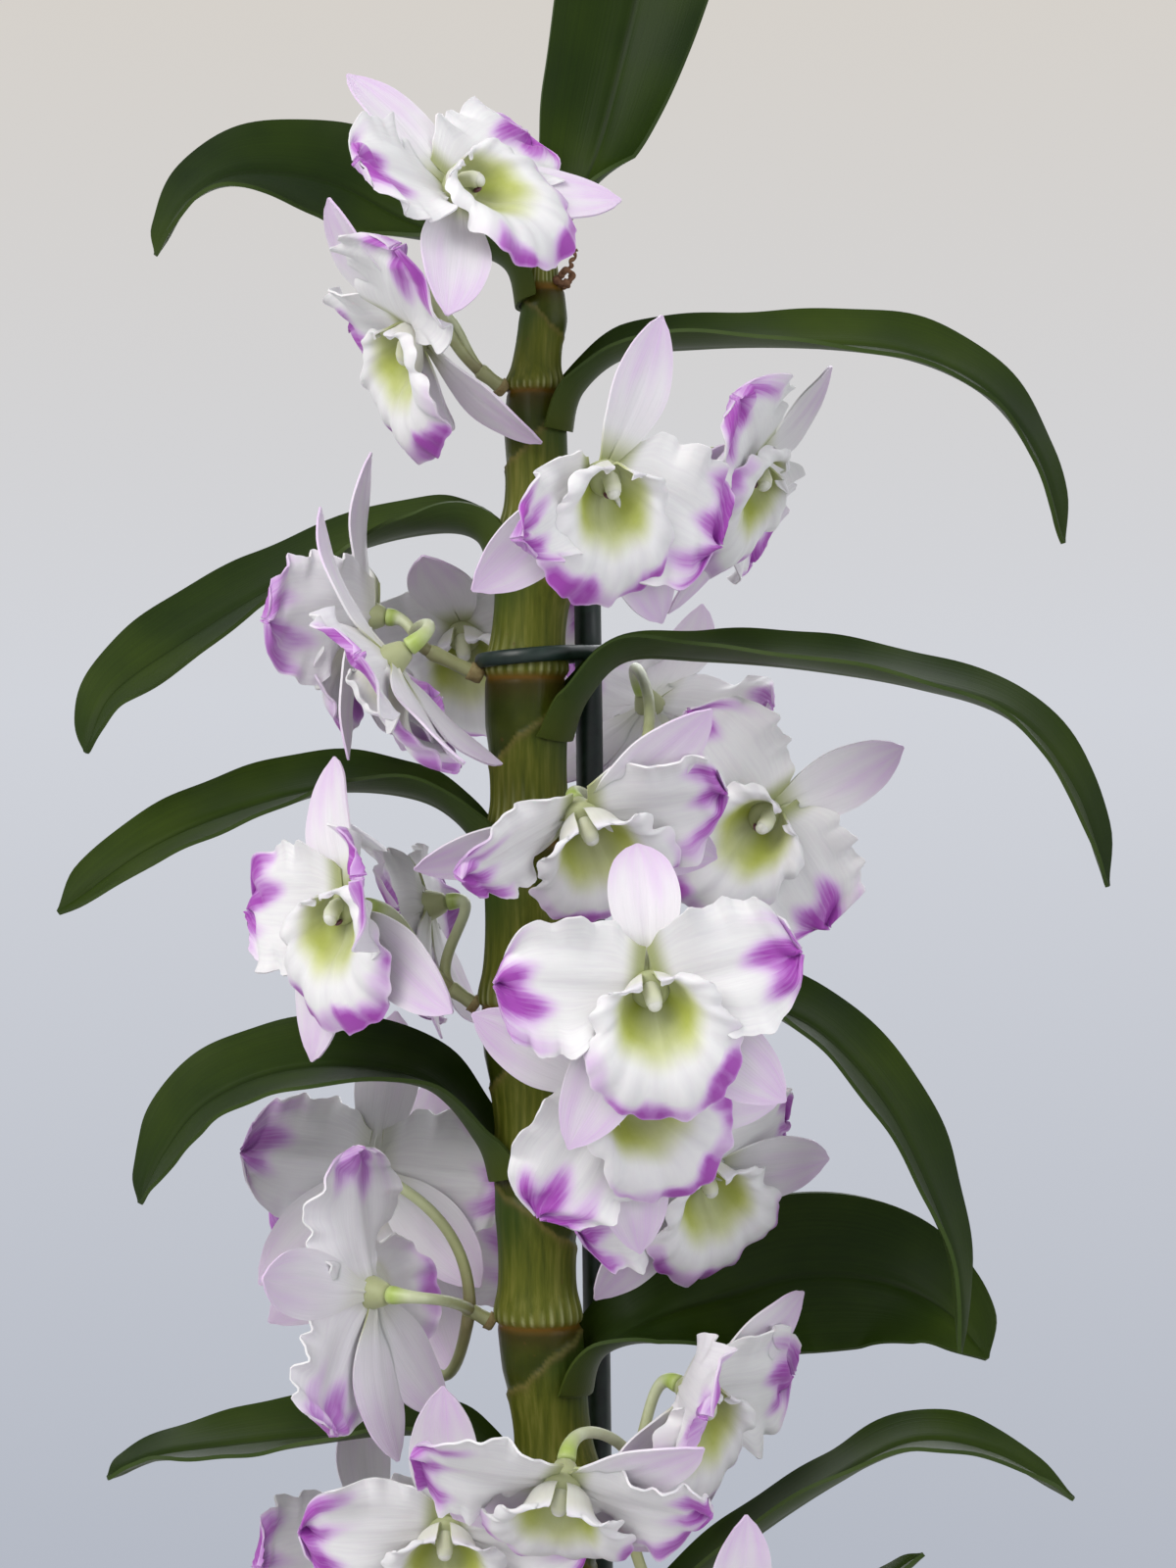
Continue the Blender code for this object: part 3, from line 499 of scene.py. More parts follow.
def tube(name, points, radii, sides=20):
    """A round bar along points, with a radius at each, as a closed and smooth mesh."""
    points = np.asarray(points, float)
    ahead = unit(np.gradient(points, axis=0))
    lift = np.cross(ahead[0], (0.31, 0.17, 0.94))
    frames = []
    for way in ahead:
        lift = unit(lift - way * np.dot(lift, way))
        frames.append((lift, np.cross(way, lift)))
    firsts = np.array([f[0] for f in frames])
    seconds = np.array([f[1] for f in frames])
    radii = np.asarray(radii, float)

    def place(u, v):
        i = np.round(u * (len(points) - 1)).astype(int)
        angle = np.pi * v
        around = firsts[i] * np.cos(angle)[:, None] + seconds[i] * np.sin(angle)[:, None]
        shares = np.stack([u, 0.5 + 0.5 * np.cos(angle), np.zeros_like(u), np.ones_like(u)], -1)
        return points[i] + around * radii[i][:, None], shares

    return rounded(closed_tube(grown_sheet(name, sides, len(points) - 1, place)))


# Scar at the cane's tip: three rough brown curls of dried skin.
SCAR_FOOT = (-4.0, -2.4, 504.0)
SCAR_POINTS = 30
SCAR_SIDES = 12
SCAR_CURLS = [
    (0.95, [
        (0, 0, 0), (1.6, -1.0, -1.1), (3.1, -1.4, -0.7), (3.7, -1.2, 0.8), (2.5, -1.8, 1.7),
        (1.2, -1.2, 1.1), (1.8, -0.8, 0.1)]),
    (0.55, [
        (1.6, -0.9, 0.4), (2.4, -1.2, 1.8), (3.6, -1.0, 2.7), (3.3, -1.5, 3.7),
        (4.5, -1.2, 4.6), (4.3, -0.9, 5.8), (4.9, -1.2, 6.3)]),
    (0.70, [
        (0.4, 0, 0.2), (1.0, 0.8, -1.3), (2.6, 0.6, -1.7), (3.3, 0.2, -0.6)]),
]


def along(points, share):
    """Points on the smooth curve through the given points, at an array of shares."""
    at = np.asarray(share, float) * (len(points) - 1)
    tables = ([(i, point[axis]) for i, point in enumerate(points)] for axis in range(3))
    return np.stack([between(table, at) for table in tables], -1)


def speckled(name, scale, detail, stops, roughness, specular=0.5):
    """A plain finish whose colours lie scattered in fine specks."""
    made, tree, shader = finish_with(name)
    fill(tree, shader, {
        "Base Color": ramp(tree, noise(tree, object_place(tree), scale, detail), stops),
        "Roughness": roughness, "Specular IOR Level": specular})
    return made


def figured(tree, operation, first, second=0.0, third=0.0):
    """The result of one Math node."""
    node = linked(tree, "ShaderNodeMath", {0: first, 1: second, 2: third}, operation=operation)
    return node.outputs[0]


def tinted(tree, skin, share, amount, tint):
    """A colour with an amount of a tint laid over it where the share is high."""
    return blended(tree, figured(tree, "MULTIPLY", share, amount), skin, tint)


def painted(tree, attribute):
    """The four values that a shape keeps at its points under a name, as sockets."""
    kept = linked(tree, "ShaderNodeAttribute", attribute_name=attribute)
    split = linked(tree, "ShaderNodeSeparateColor", {"Color": kept.outputs["Color"]})
    return (*split.outputs, kept.outputs["Alpha"])


scar_brown = speckled("scar_brown", 700.0, 4.0, [
    (0.3, (0.095, 0.042, 0.022)), (0.7, (0.28, 0.155, 0.085))], 0.8, specular=0.2)
scar = []
for thick, curl in SCAR_CURLS:
    share = np.linspace(0, 1, SCAR_POINTS)
    line = along([np.array(SCAR_FOOT) + np.array(spot) for spot in curl], share)
    radii = thick * (1 - 0.45 * share) * (1 + 0.28 * np.sin(29 * share + 7 * thick))
    scar.append(tube("scar", line * MM, radii * MM, SCAR_SIDES))

cane_green, tree, shader = finish_with("cane_green")
place = object_place(tree)
sheath, edge, ring, rib = painted(tree, "tints")
leaf_green, under_ring, _, _ = painted(tree, "growth")
upright = linked(tree, "ShaderNodeMapping", {"Vector": place, "Scale": (1, 1, 0.08)})
streaks = noise(tree, upright.outputs["Vector"], 620.0, 4.0, 0.6)
blotches = noise(tree, place, 95.0, 4.0)
specks = noise(tree, place, 520.0, 2.0)
bare = ramp(tree, blotches, [
    (0.3, (0.022, 0.032, 0.002)), (0.55, (0.040, 0.052, 0.004)), (0.8, (0.068, 0.074, 0.008))])
bare = tinted(tree, bare, under_ring, 0.6, (0.045, 0.022, 0.004))
covered = ramp(tree, streaks, [
    (0.3, (0.052, 0.066, 0.004)), (0.5, (0.092, 0.104, 0.009)), (0.75, (0.165, 0.165, 0.030))])
covered = tinted(tree, covered, leaf_green, 0.85, (0.024, 0.050, 0.005))
covered = tinted(tree, covered, rib, 0.85, (0.36, 0.37, 0.17))
skin = blended(tree, sheath, bare, covered)
skin = tinted(tree, skin, edge, 0.45, (0.20, 0.135, 0.055))
skin = tinted(tree, skin, ring, 0.50, (0.24, 0.115, 0.015))
skin = tinted(tree, skin, mapped(tree, specks, 0.70, 0.78), 0.6, (0.10, 0.055, 0.015))
fill(tree, shader, {
    "Base Color": skin, "Roughness": figured(tree, "MULTIPLY_ADD", sheath, 0.22, 0.33),
    "Specular IOR Level": 0.16})
embossed(tree, shader, streaks, 0.25 * MM, 0.5)
cane.data.materials.append(cane_green)
for curl in scar:
    curl.data.materials.append(scar_brown)
cane = joined("cane_with_sheaths", [cane, *scar])
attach(cane, "root")
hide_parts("cane")

# Stake and tie: a straight stick of dark green plastic stands in the bark behind the cane, and a
# soft loop of the same plastic holds the two together between the fourth and the fifth leaf.
STAKE_RADIUS = 3.1 * MM
STAKE_FOOT = Vector((8.4, 14.6, 14.0)) * MM
STAKE_TIP = Vector((3.0, 14.6, 449.0)) * MM
TIE_HEIGHT = 419.5 * MM
TIE_RADIUS = 1.1 * MM
TIE_SLACK = 1.0 * MM
TIE_SLOPE = 0.09
TIE_FLATNESS = 1.55
GAP = 0.3 * MM
TIE_POINTS = (49, 17)
STAKE_SHARES = (0, 0.0006, 0.002, 0.3, 0.7, 0.985, 0.9905, 0.9955, 0.9985, 1.0)
STAKE_RADII = (2.6, 3.0, 3.1, 3.1, 3.1, 3.1, 2.9, 2.3, 1.3, 0.1)


def straight_tube(name, start, end, shares, radii, sides=20):
    """A round bar from start to end, with radii in mm at shares of its length."""
    return tube(name, [start.lerp(end, s) for s in shares], [r * MM for r in radii], sides)


stake = straight_tube("plastic_stake", STAKE_FOOT, STAKE_TIP, STAKE_SHARES, STAKE_RADII, 32)
tie_middle = Vector(cane_axis(TIE_HEIGHT / MM))
tie_share = (TIE_HEIGHT - STAKE_FOOT.z) / (STAKE_TIP.z - STAKE_FOOT.z)
tie_stake = STAKE_FOOT.lerp(STAKE_TIP, tie_share)
around_cane = float(cane_radius(TIE_HEIGHT / MM)) + TIE_RADIUS + TIE_SLACK
around_stake = STAKE_RADIUS + TIE_RADIUS + GAP
toward = math.atan2(tie_stake.y - tie_middle.y, tie_stake.x - tie_middle.x)
spread = math.acos((around_cane - around_stake) / (tie_stake - tie_middle).to_2d().length)
tie_points = []
for middle, radius, begin, swept, count in (
    (tie_middle, around_cane, toward + spread, 2 * math.pi - 2 * spread, TIE_POINTS[0]),
    (tie_stake, around_stake, toward - spread, 2 * spread, TIE_POINTS[1]),
):
    for i in range(count):
        angle = begin + swept * i / (count - 1)
        tie_points.append(middle + Vector((math.cos(angle), math.sin(angle), 0)) * radius)
for point in tie_points:
    point.z = TIE_HEIGHT + TIE_SLOPE * (point.x - tie_middle.x)
bpy.ops.curve.primitive_nurbs_path_add()
tie = bpy.context.active_object
tie.name = "plastic_tie"
tie.data.splines.clear()
loop = tie.data.splines.new("POLY")
loop.points.add(len(tie_points) - 1)
for control, point in zip(loop.points, tie_points):
    control.co = (*point, 1)
loop.use_cyclic_u = True
tie.data.bevel_depth = TIE_RADIUS
tie.data.bevel_resolution = 6
bpy.ops.object.convert(target="MESH")
tie = rounded(bpy.context.active_object)
for vertex in tie.data.vertices:
    middle = TIE_HEIGHT + TIE_SLOPE * (vertex.co.x - tie_middle.x)
    vertex.co.z = middle + TIE_FLATNESS * (vertex.co.z - middle)

stake_green, tree, shader = finish_with("stake_green")
wear = noise(tree, object_place(tree), 240.0)
fill(tree, shader, {
    "Base Color": ramp(tree, wear, [(0.3, (0.004, 0.012, 0.010)), (0.7, (0.014, 0.032, 0.024))]),
    "Roughness": ramp(tree, wear, [(0.3, (0.32,) * 3), (0.8, (0.55,) * 3)])})
embossed(tree, shader, wear, 0.1 * MM, 0.4)
for piece, node in ((stake, "stake"), (tie, "tie")):
    piece.data.materials.append(stake_green)
    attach(piece, "root")
    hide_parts(node)

# Leaves: long leathery blades with a pale keel below and a groove above, set left and right in
# turn. Each leaves the top of its sheath as a trough that clasps the cane, then arches over and
# hangs. The upper face is dark with a soft gloss, the underside is paler.
LEAF_THICKNESS = 0.9 * MM
LEAF_ROWS = 96
LEAF_COLUMNS = 26
LEAF_HALF_WIDTH = [
    (0, 0.72), (0.1, 0.66), (0.2, 0.66), (0.35, 0.84), (0.55, 1.0), (0.75, 0.86), (0.92, 0.42),
    (1, 0.03)]
LEAF_CLASP = [(0, 75), (0.1, 68), (0.2, 50), (0.4, 30), (0.7, 18), (1, 8)]
LEAF_COLLAR = 1.35
LEAF_FOLD = 1.1
LEAF_WAVE = 0.7
LEAVES = {
    "leaf_01": dict(half=18.5, side=1, turn=(50, 80, 70), path=[
        (1, 1, 522), (6, 4, 536), (12, 7, 560), (18, 8, 585), (27, 7, 608), (37, 4, 628),
        (46, 0, 641)]),
    "leaf_02": dict(half=15.5, side=-1, turn=(0, 55, 20), path=[
        (-15, 2, 507), (-24, 8, 513), (-40, 14, 521), (-56, 14, 529), (-75, 9, 530),
        (-87, 5, 523), (-94, 2, 510)]),
    "leaf_03": dict(half=15.5, side=1, turn=(10, 22, 30), path=[
        (2, -1, 479), (12, -3, 487), (30, -5, 489), (52, -6, 489), (74, -6, 487), (92, -4, 479),
        (104, -2, 464), (110, 0, 445)]),
    "leaf_04": dict(half=15.5, side=-1, turn=(0, 25, 45), path=[
        (-21.5, 2, 446), (-32, 12, 449), (-50, 23, 446), (-70, 20, 436), (-90, 13, 423),
        (-105, 7, 411), (-110, 4, 398)]),
    "leaf_05": dict(half=15.5, side=1, turn=(0, 12, 30), path=[
        (3, -2, 410), (12, -7, 419), (30, -11, 419), (52, -14, 417), (76, -12, 413),
        (98, -8, 406), (112, -4, 390), (120, 0, 368)]),
    "leaf_06": dict(half=15.5, side=-1, turn=(0, 15, 45), path=[
        (-23.5, 1, 380), (-34, 4, 388), (-54, 8, 390), (-76, 8, 385), (-97, 6, 376),
        (-116, 2, 362)]),
    "leaf_07": dict(half=15.5, side=1, turn=(0, 22, 22), path=[
        (2.5, 0, 332), (15, 0, 340), (32, 5, 343), (46, 5, 340), (58, 2, 333), (70, -4, 319),
        (78, -9, 303), (84, -13, 285), (85, -16, 266)]),
    "leaf_08": dict(half=15.5, side=-1, turn=(5, 28, 30), path=[
        (-21.5, 0, 311), (-32, -3, 324), (-50, -3, 328), (-68, 0, 326), (-83, 1, 319),
        (-92, 0, 308), (-97, -2, 297)]),
    "leaf_09": dict(half=18.5, side=1, turn=(0, 75, 60), path=[
        (7, -1, 264), (19, 1, 271), (35, 8, 275), (52, 13, 279), (70, 12, 278), (84, 6, 272),
        (93, 0, 262)]),
    "leaf_10": dict(half=14.5, side=-1, turn=(0, 10, 10), path=[
        (-17, 0, 235), (-26, 0, 244), (-40, 0, 246), (-60, 2, 244), (-78, 2, 242),
        (-94, 0, 240), (-104, -4, 236)]),
    "leaf_11": dict(half=12.5, side=1, turn=(0, 0, 20), path=[
        (10, -1, 192), (20, -3, 206), (38, -8, 223), (58, -10, 237), (76, -8, 245),
        (94, -6, 242), (112, -2, 231)]),
    "leaf_12": dict(half=13.5, side=-1, turn=(0, 20, 20), path=[
        (-13, 0, 160), (-22, -2, 171), (-38, -2, 178), (-58, 0, 177), (-76, 2, 170),
        (-90, 2, 156)]),
    "leaf_13": dict(half=11.5, side=1, turn=(0, 0, 0), path=[
        (11, -1, 142), (19, -5, 157), (32, -11, 177), (48, -16, 198), (64, -17, 213),
        (77, -16, 222)]),
}


def turned_about(vectors, axes, angles):
    """Vectors turned about unit axes by angles, row by row."""
    c, s = np.cos(angles)[..., None], np.sin(angles)[..., None]
    dot = (vectors * axes).sum(-1, keepdims=True)
    return vectors * c + np.cross(axes, vectors) * s + axes * dot * (1 - c)


def leaf_place(leaf, number):
    """Where the points of a leaf lie: a strip on its middle line, clasping the cane at its base."""
    side = leaf["side"]
    foot_height = leaf["path"][0][2] - 9
    clasp = float(cane_radius(foot_height)) + LEAF_COLLAR * MM
    base = cane_axis(foot_height) + np.array((side * clasp, 0, 0))
    points = [base, *(np.array(p) * MM for p in leaf["path"])]
    turns = list(zip((0, 0.5, 1), leaf["turn"]))
    foot_half = clasp * math.radians(LEAF_CLASP[0][1])

    def place(u, v):
        middle = along(points, u)
        ahead = along(points, np.minimum(u + 0.01, 1)) - along(points, np.maximum(u - 0.01, 0))
        ahead = unit(ahead)
        wide = unit(np.array((0, side, 0)) - ahead * ahead[:, 1:2] * side)
        settle = np.minimum(u / 0.25, 1)
        turn = np.radians(between(turns, u)) * side * settle
        face = turned_about(np.cross(ahead, wide), ahead, turn)
        wide = turned_about(wide, ahead, turn)
        half = foot_half * (1 - settle) + leaf["half"] * MM * between(LEAF_HALF_WIDTH, u) * settle
        bend = np.radians(between(LEAF_CLASP, u))
        radius = half / bend
        open_blade = smoothstep(0.12, 0.35, u) * (1 - smoothstep(0.93, 1.0, u))
        lift = open_blade * MM * (
            LEAF_FOLD * np.abs(v) - 0.7 * np.exp(-((v * half / (1.1 * MM)) ** 2))
            + LEAF_WAVE * v**2 * np.sin(math.tau * 2.3 * u + 1.3 * number + 2.1 * (v > 0))
            + 0.25 * v**4 * np.sin(math.tau * 7.1 * u + 2.2 * number))
        spots = (
            middle + wide * (radius * np.sin(bend * v))[:, None]
            + face * (radius * (1 - np.cos(bend * v)) + lift)[:, None])
        tints = np.stack([
            u, 0.5 + 0.5 * v, np.full_like(u, number / len(LEAVES)), np.ones_like(u)], -1)
        return spots, tints

    return place


def thickened(piece, thickness, back=0, rim=0):
    """Gives a sheet its thickness, with other materials on its back and rim if they are counted."""
    bpy.context.view_layer.objects.active = piece
    wall = piece.modifiers.new("thickness", "SOLIDIFY")
    wall.thickness = thickness
    wall.offset = 0
    wall.material_offset = back
    wall.material_offset_rim = rim
    bpy.ops.object.modifier_apply(modifier=wall.name)
    return piece


def leaf_finish(name, stops, keel, keel_width, roughness, foot):
    """A leaf's green over one of its faces: long fine veins, a keel or groove, a pale foot."""
    made, tree, shader = finish_with(name)
    u, across, number, _ = painted(tree, "tints")
    lines = linked(tree, "ShaderNodeCombineXYZ", {
        "X": figured(tree, "MULTIPLY", across, 70.0), "Y": figured(tree, "MULTIPLY", u, 2.0),
        "Z": figured(tree, "MULTIPLY", number, 40.0)}).outputs["Vector"]
    veins = noise(tree, lines, 1.0, 3.0, 0.6)
    vein_shade = ramp(tree, veins, [(0.3, (0.62,) * 3), (0.7, (1.0,) * 3)])
    cloud = noise(tree, object_place(tree), 26.0)
    skin = blended(tree, 0.5, ramp(tree, cloud, stops), vein_shade, "MULTIPLY")
    off_middle = figured(tree, "ABSOLUTE", figured(tree, "SUBTRACT", across, 0.5))
    skin = tinted(tree, skin, mapped(tree, off_middle, keel_width, 0.0), 0.7, keel)
    fill(tree, shader, {
        "Base Color": blended(tree, mapped(tree, u, 0.17, 0.04), skin, foot),
        "Roughness": ramp(tree, cloud, [
            (0.3, (roughness - 0.06,) * 3), (0.8, (roughness + 0.10,) * 3)]),
        "Specular IOR Level": 0.12})
    embossed(tree, shader, veins, 0.14 * MM, 0.4)
    return made


leaf_top = leaf_finish("leaf_top", [
    (0.3, (0.009, 0.022, 0.001)), (0.5, (0.017, 0.035, 0.001)), (0.75, (0.032, 0.056, 0.002))],
    (0.009, 0.018, 0.001), 0.030, 0.48, (0.040, 0.062, 0.006))
leaf_under = leaf_finish("leaf_under", [
    (0.3, (0.030, 0.052, 0.010)), (0.5, (0.042, 0.070, 0.015)), (0.75, (0.060, 0.090, 0.024))],
    (0.075, 0.110, 0.028), 0.035, 0.50, (0.048, 0.066, 0.008))

for number, (name, leaf) in enumerate(LEAVES.items()):
    blade = grown_sheet(name, LEAF_COLUMNS, LEAF_ROWS, leaf_place(leaf, number))
    blade.data.materials.append(leaf_top)
    blade.data.materials.append(leaf_under)
    thickened(blade, LEAF_THICKNESS, back=1, rim=1)
    bpy.ops.object.shade_smooth_by_angle(angle=math.radians(60))
    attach(blade, "root")
    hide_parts(name)

# Flower stalks: a short stem breaks from the cane at a ring, with a dry bract at its foot, and
# a pale hooked stalk runs from it to the back of each bloom and swells where the bloom sits.
HEART_BACK = 5.0 * MM
PEDICEL_POINTS = 34
PEDICEL_RADII = [
    (0, 1.5), (0.08, 1.35), (0.4, 1.25), (0.7, 1.3), (0.86, 1.6), (0.95, 2.0), (1, 2.0)]
STEM_SHARES = (0, 0.03, 0.12, 0.3, 0.5, 0.7, 0.88, 0.97, 1.0)
STEM_RADII = (0.9, 1.45, 1.8, 1.65, 1.55, 1.7, 1.85, 1.5, 0.7)
BRACT_SHARES = (0.01, 0.06, 0.16, 0.24, 0.26)
BRACT_RADII = (1.7, 2.0, 2.0, 2.15, 1.5)
STEM_TINT = (0.14, 0.5, 0, 1)
STALKS = {
    "stalk_01": dict(ring=479, round=-70, out=8, rise=35),
    "stalk_02": dict(ring=446, round=62, out=9, rise=10),
    "stalk_03": dict(ring=415, round=-80, out=14, rise=25),
    "stalk_04": dict(ring=378, round=55, out=9, rise=30),
    "stalk_05": dict(ring=341, round=-85, out=8, rise=35),
    "stalk_06": dict(ring=305, round=45, out=12, rise=20),
    "stalk_07": dict(ring=270, round=-85, out=8, rise=30),
    "stalk_08": dict(ring=235, round=50, out=10, rise=20),
    "stalk_09": dict(ring=198, round=-85, out=12, rise=25),
    "stalk_10": dict(ring=446, round=175, out=8, rise=5),
}
# Each bloom: where its petals meet (mm), which way it looks (degrees to the right, degrees up)
# and its roll. turns and backs bend the top, left and right sepal, then the left and right petal,
# round the face and away from it, and sizes makes them broader or narrower. lip swings the lip
# forward, and leave bends the start of the bloom's stalk.
BLOOMS = {
    "bloom_01a": dict(at=(-24.5, -32, 518.5), look=(33, 37), roll=45, turns=(-18, -28, 0, -36, -6),
                      backs=(0, 0, -25, -25, 0)),
    "bloom_01b": dict(at=(-35, -10, 490), look=(-68, -38), roll=-12, turns=(0, 0, 0, 0, 50),
                      sizes=(1.4, 1, 1, 1, 1.2), lip=25),
    "bloom_02a": dict(at=(6.5, -40, 456), look=(32, -10), roll=-4, turns=(-13, -5, 0, 30, -20),
                      backs=(0, 0, 0, -35, -10), sizes=(0.92, 1, 1, 0.66, 1.08)),
    "bloom_02b": dict(at=(40, 2, 462), look=(70, -25), roll=-40, turns=(0, 0, 0, 15, 0)),
    "bloom_03a": dict(at=(-39, -38, 417), look=(-98, -36), roll=0, turns=(0, 0, 0, 15, 0),
                      backs=(20, 0, 0, 0, 0)),
    "bloom_03b": dict(at=(-47, 2, 429), look=(-100, 5), roll=-8, turns=(0, 0, 0, 22, 0),
                      backs=(0, 0, 0, -50, -50)),
    "bloom_04a": dict(at=(2, -36, 384), look=(18, -35), roll=30, turns=(-70, -56, 0, -15, -18),
                      backs=(0, 0, 0, -35, 0), sizes=(1, 0.8, 1, 0.66, 1)),
    "bloom_04b": dict(at=(43, 5, 384), look=(20, -14), roll=-52, turns=(-12, 30, -5, 3, -3)),
    "bloom_04c": dict(at=(18, 36, 409), look=(150, -45), roll=0, turns=(0, 25, 0, 0, 30),
                      leave=(0.6, -0.4, 0.6)),
    "bloom_05a": dict(at=(-49, -26, 364.5), look=(-45, 2), roll=15, turns=(8, 0, 2, -12, 0),
                      backs=(20, 0, 0, 0, -60)),
    "bloom_05b": dict(at=(-34, 17, 363), look=(-100, -10), roll=0, backs=(-60, 0, 0, 0, 0)),
    "bloom_06a": dict(at=(16, -62, 349), look=(4, -3), roll=12, turns=(-10, 0, 0, -14, 2),
                      backs=(60, 0, 0, 0, 0)),
    "bloom_06b": dict(at=(10, -40, 326), look=(12, -8), roll=48, turns=(14, 0, 0, 10, 0)),
    "bloom_06c": dict(at=(28, -8, 305), look=(30, -22), roll=20, turns=(0, -10, 30, 0, -10),
                      backs=(0, 0, 0, 0, 35)),
    "bloom_07a": dict(at=(-46, 18, 303), look=(170, -5), roll=5, turns=(0, -12, 0, 0, 0),
                      backs=(-15, 0, 0, 0, 0), leave=(0.9, 0.3, 1.2)),
    "bloom_07b": dict(at=(-44, -20, 280), look=(-125, 0), roll=-65, turns=(-13, 66, 20, -30, 0),
                      leave=(0.5, -1.5, 0)),
    "bloom_07c": dict(at=(-42, 42, 286), look=(175, -10), roll=14, leave=(0.4, 1.4, -3.4)),
    "bloom_08a": dict(at=(-2, -50, 245), look=(-12, -48), roll=-12, turns=(-50, 0, 0, -8, -6)),
    "bloom_08b": dict(at=(27, -20, 258), look=(48, -15), roll=-15, turns=(-42, 8, 0, 0, 15),
                      backs=(0, 0, 0, -70, 0)),
    "bloom_08c": dict(at=(31, -38, 204), look=(25, -20), roll=0, leave=(-0.3, 0, -2.5)),
    "bloom_09a": dict(at=(-46, 20, 215), look=(-140, -5), roll=0),
    "bloom_09b": dict(at=(-28, -16, 227), look=(0, -20), roll=0, turns=(0, 0, -30, 0, 0)),
    "bloom_10a": dict(at=(-26, 36, 426), look=(-5, -30), roll=10, turns=(0, 0, 0, 0, 15),
                      backs=(-50, 0, 0, 0, 0), leave=(-0.6, 0.6, 0)),
}


def bloom_turn(bloom):
    """The matrix that stands a bloom, modelled looking along +Z, in its place."""
    right, up = (math.radians(a) for a in bloom["look"])
    return (
        Matrix.Translation(Vector(bloom["at"]) * MM) @ Matrix.Rotation(right, 4, "Z")
        @ Matrix.Rotation(math.pi / 2 - up, 4, "X")
        @ Matrix.Rotation(math.radians(bloom["roll"]), 4, "Z")
    )


def smooth_line(start, start_way, end, end_way, count):
    """Points on a smooth line that leaves start and arrives at end in the given directions."""
    reach = (end - start).length * 1.1
    points = []
    for i in range(count):
        t = i / (count - 1)
        points.append(
            start * (2 * t**3 - 3 * t**2 + 1) + start_way * reach * (t**3 - 2 * t**2 + t)
            + end * (3 * t**2 - 2 * t**3) + end_way * reach * (t**3 - t**2))
    return points


def tint_all(piece, tint):
    """Gives all points of a piece the same four values."""
    values = np.tile(tint, len(piece.data.vertices)).astype(np.float32)
    piece.data.attributes["tints"].data.foreach_set("color", values)


stalk_green, tree, shader = finish_with("stalk_green")
skin = ramp(tree, painted(tree, "tints")[0], [
    (0.0, (0.17, 0.145, 0.060)), (0.16, (0.34, 0.36, 0.17)), (0.5, (0.50, 0.54, 0.33)),
    (0.80, (0.58, 0.63, 0.42)), (0.93, (0.38, 0.50, 0.11)), (1.0, (0.48, 0.58, 0.22))])
mottle = noise(tree, object_place(tree), 300.0)
mottle_shade = ramp(tree, mottle, [(0.3, (0.70, 0.68, 0.55)), (0.7, (1.0, 1.0, 1.0))])
fill(tree, shader, {
    "Base Color": blended(tree, 0.45, skin, mottle_shade, "MULTIPLY"), "Roughness": 0.42,
    "Subsurface Weight": 0.15, "Subsurface Radius": (0.0010, 0.0012, 0.0006)})
embossed(tree, shader, mottle, 0.12 * MM, 0.5)
bract_brown = speckled("bract_brown", 520.0, 4.0, [
    (0.3, (0.17, 0.115, 0.040)), (0.55, (0.250, 0.200, 0.080)), (0.8, (0.34, 0.29, 0.14))], 0.75)

for name, stalk in STALKS.items():
    around, rise = math.radians(stalk["round"]), math.radians(stalk["rise"])
    out = Vector((math.sin(around), -math.cos(around), 0))
    way = out * math.cos(rise) + Vector((0, 0, math.sin(rise)))
    start = Vector(cane_axis(stalk["ring"])) + out * (float(cane_radius(stalk["ring"])) + 2 * GAP)
    fork = start + way * stalk["out"] * MM
    stem = straight_tube("stem", start, fork, STEM_SHARES, STEM_RADII)
    tint_all(stem, STEM_TINT)
    stem.data.materials.append(stalk_green)
    bract = straight_tube("bract", start, fork, BRACT_SHARES, BRACT_RADII)
    bract.data.materials.append(bract_brown)
    pieces = [stem, bract]
    for bloom_name, bloom in BLOOMS.items():
        if bloom_name[-3:-1] != name[-2:]:
            continue
        turn = bloom_turn(bloom)
        look = (turn.to_3x3() @ Vector((0, 0, 1))).normalized()
        end = turn.translation - look * (HEART_BACK + GAP)
        leave = way + Vector(bloom.get("leave", (0, 0, 0)))
        line = smooth_line(
            fork - way * 1.5 * MM, leave, end - look * 1.2 * MM, look, PEDICEL_POINTS)
        line += [end - look * 0.5 * MM, end]
        shares = np.linspace(0, 1, len(line))
        pedicel = tube("pedicel", line, between(PEDICEL_RADII, shares) * MM)
        pedicel.data.materials.append(stalk_green)
        pieces.append(pedicel)
    stalk_piece = joined(name, pieces)
    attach(stalk_piece, "root")
    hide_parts(name)

# Blooms: three narrow sepals behind, two broad frilled petals over them and a lip rolled into a
# trumpet. White petals flush lilac and purple to their tips, and the throat is lime green, painted
# darker towards the heart as shade deep in the throat. Each bloom has grown from one heart, which
# sits on the swollen end of its stalk.
PETAL_THICKNESS = 0.5 * MM
PETAL_SINK = 0.045
SEPAL_GRID = (14, 28)
PETAL_GRID = (26, 44)
SEPAL_OUTLINE = [(0, 0.26), (0.25, 0.78), (0.5, 1.0), (0.75, 0.80), (0.92, 0.38), (1, 0.04)]
PETAL_OUTLINE = [
    (0, 0.58), (0.2, 0.92), (0.4, 1.0), (0.6, 1.0), (0.8, 0.86), (0.93, 0.50), (1, 0.05)]
TOP_SEPAL = dict(
    length=34, half=7.6, turn=90, start=2.8, base=-0.8, rise=(14, -10), cup=0.10, ruffle=0.4)
LEFT_SEPAL = dict(
    length=35, half=8.0, turn=232, start=2.8, base=-0.8, rise=(6, -16), cup=0.08, ruffle=0.4)
RIGHT_SEPAL = dict(LEFT_SEPAL, turn=308)
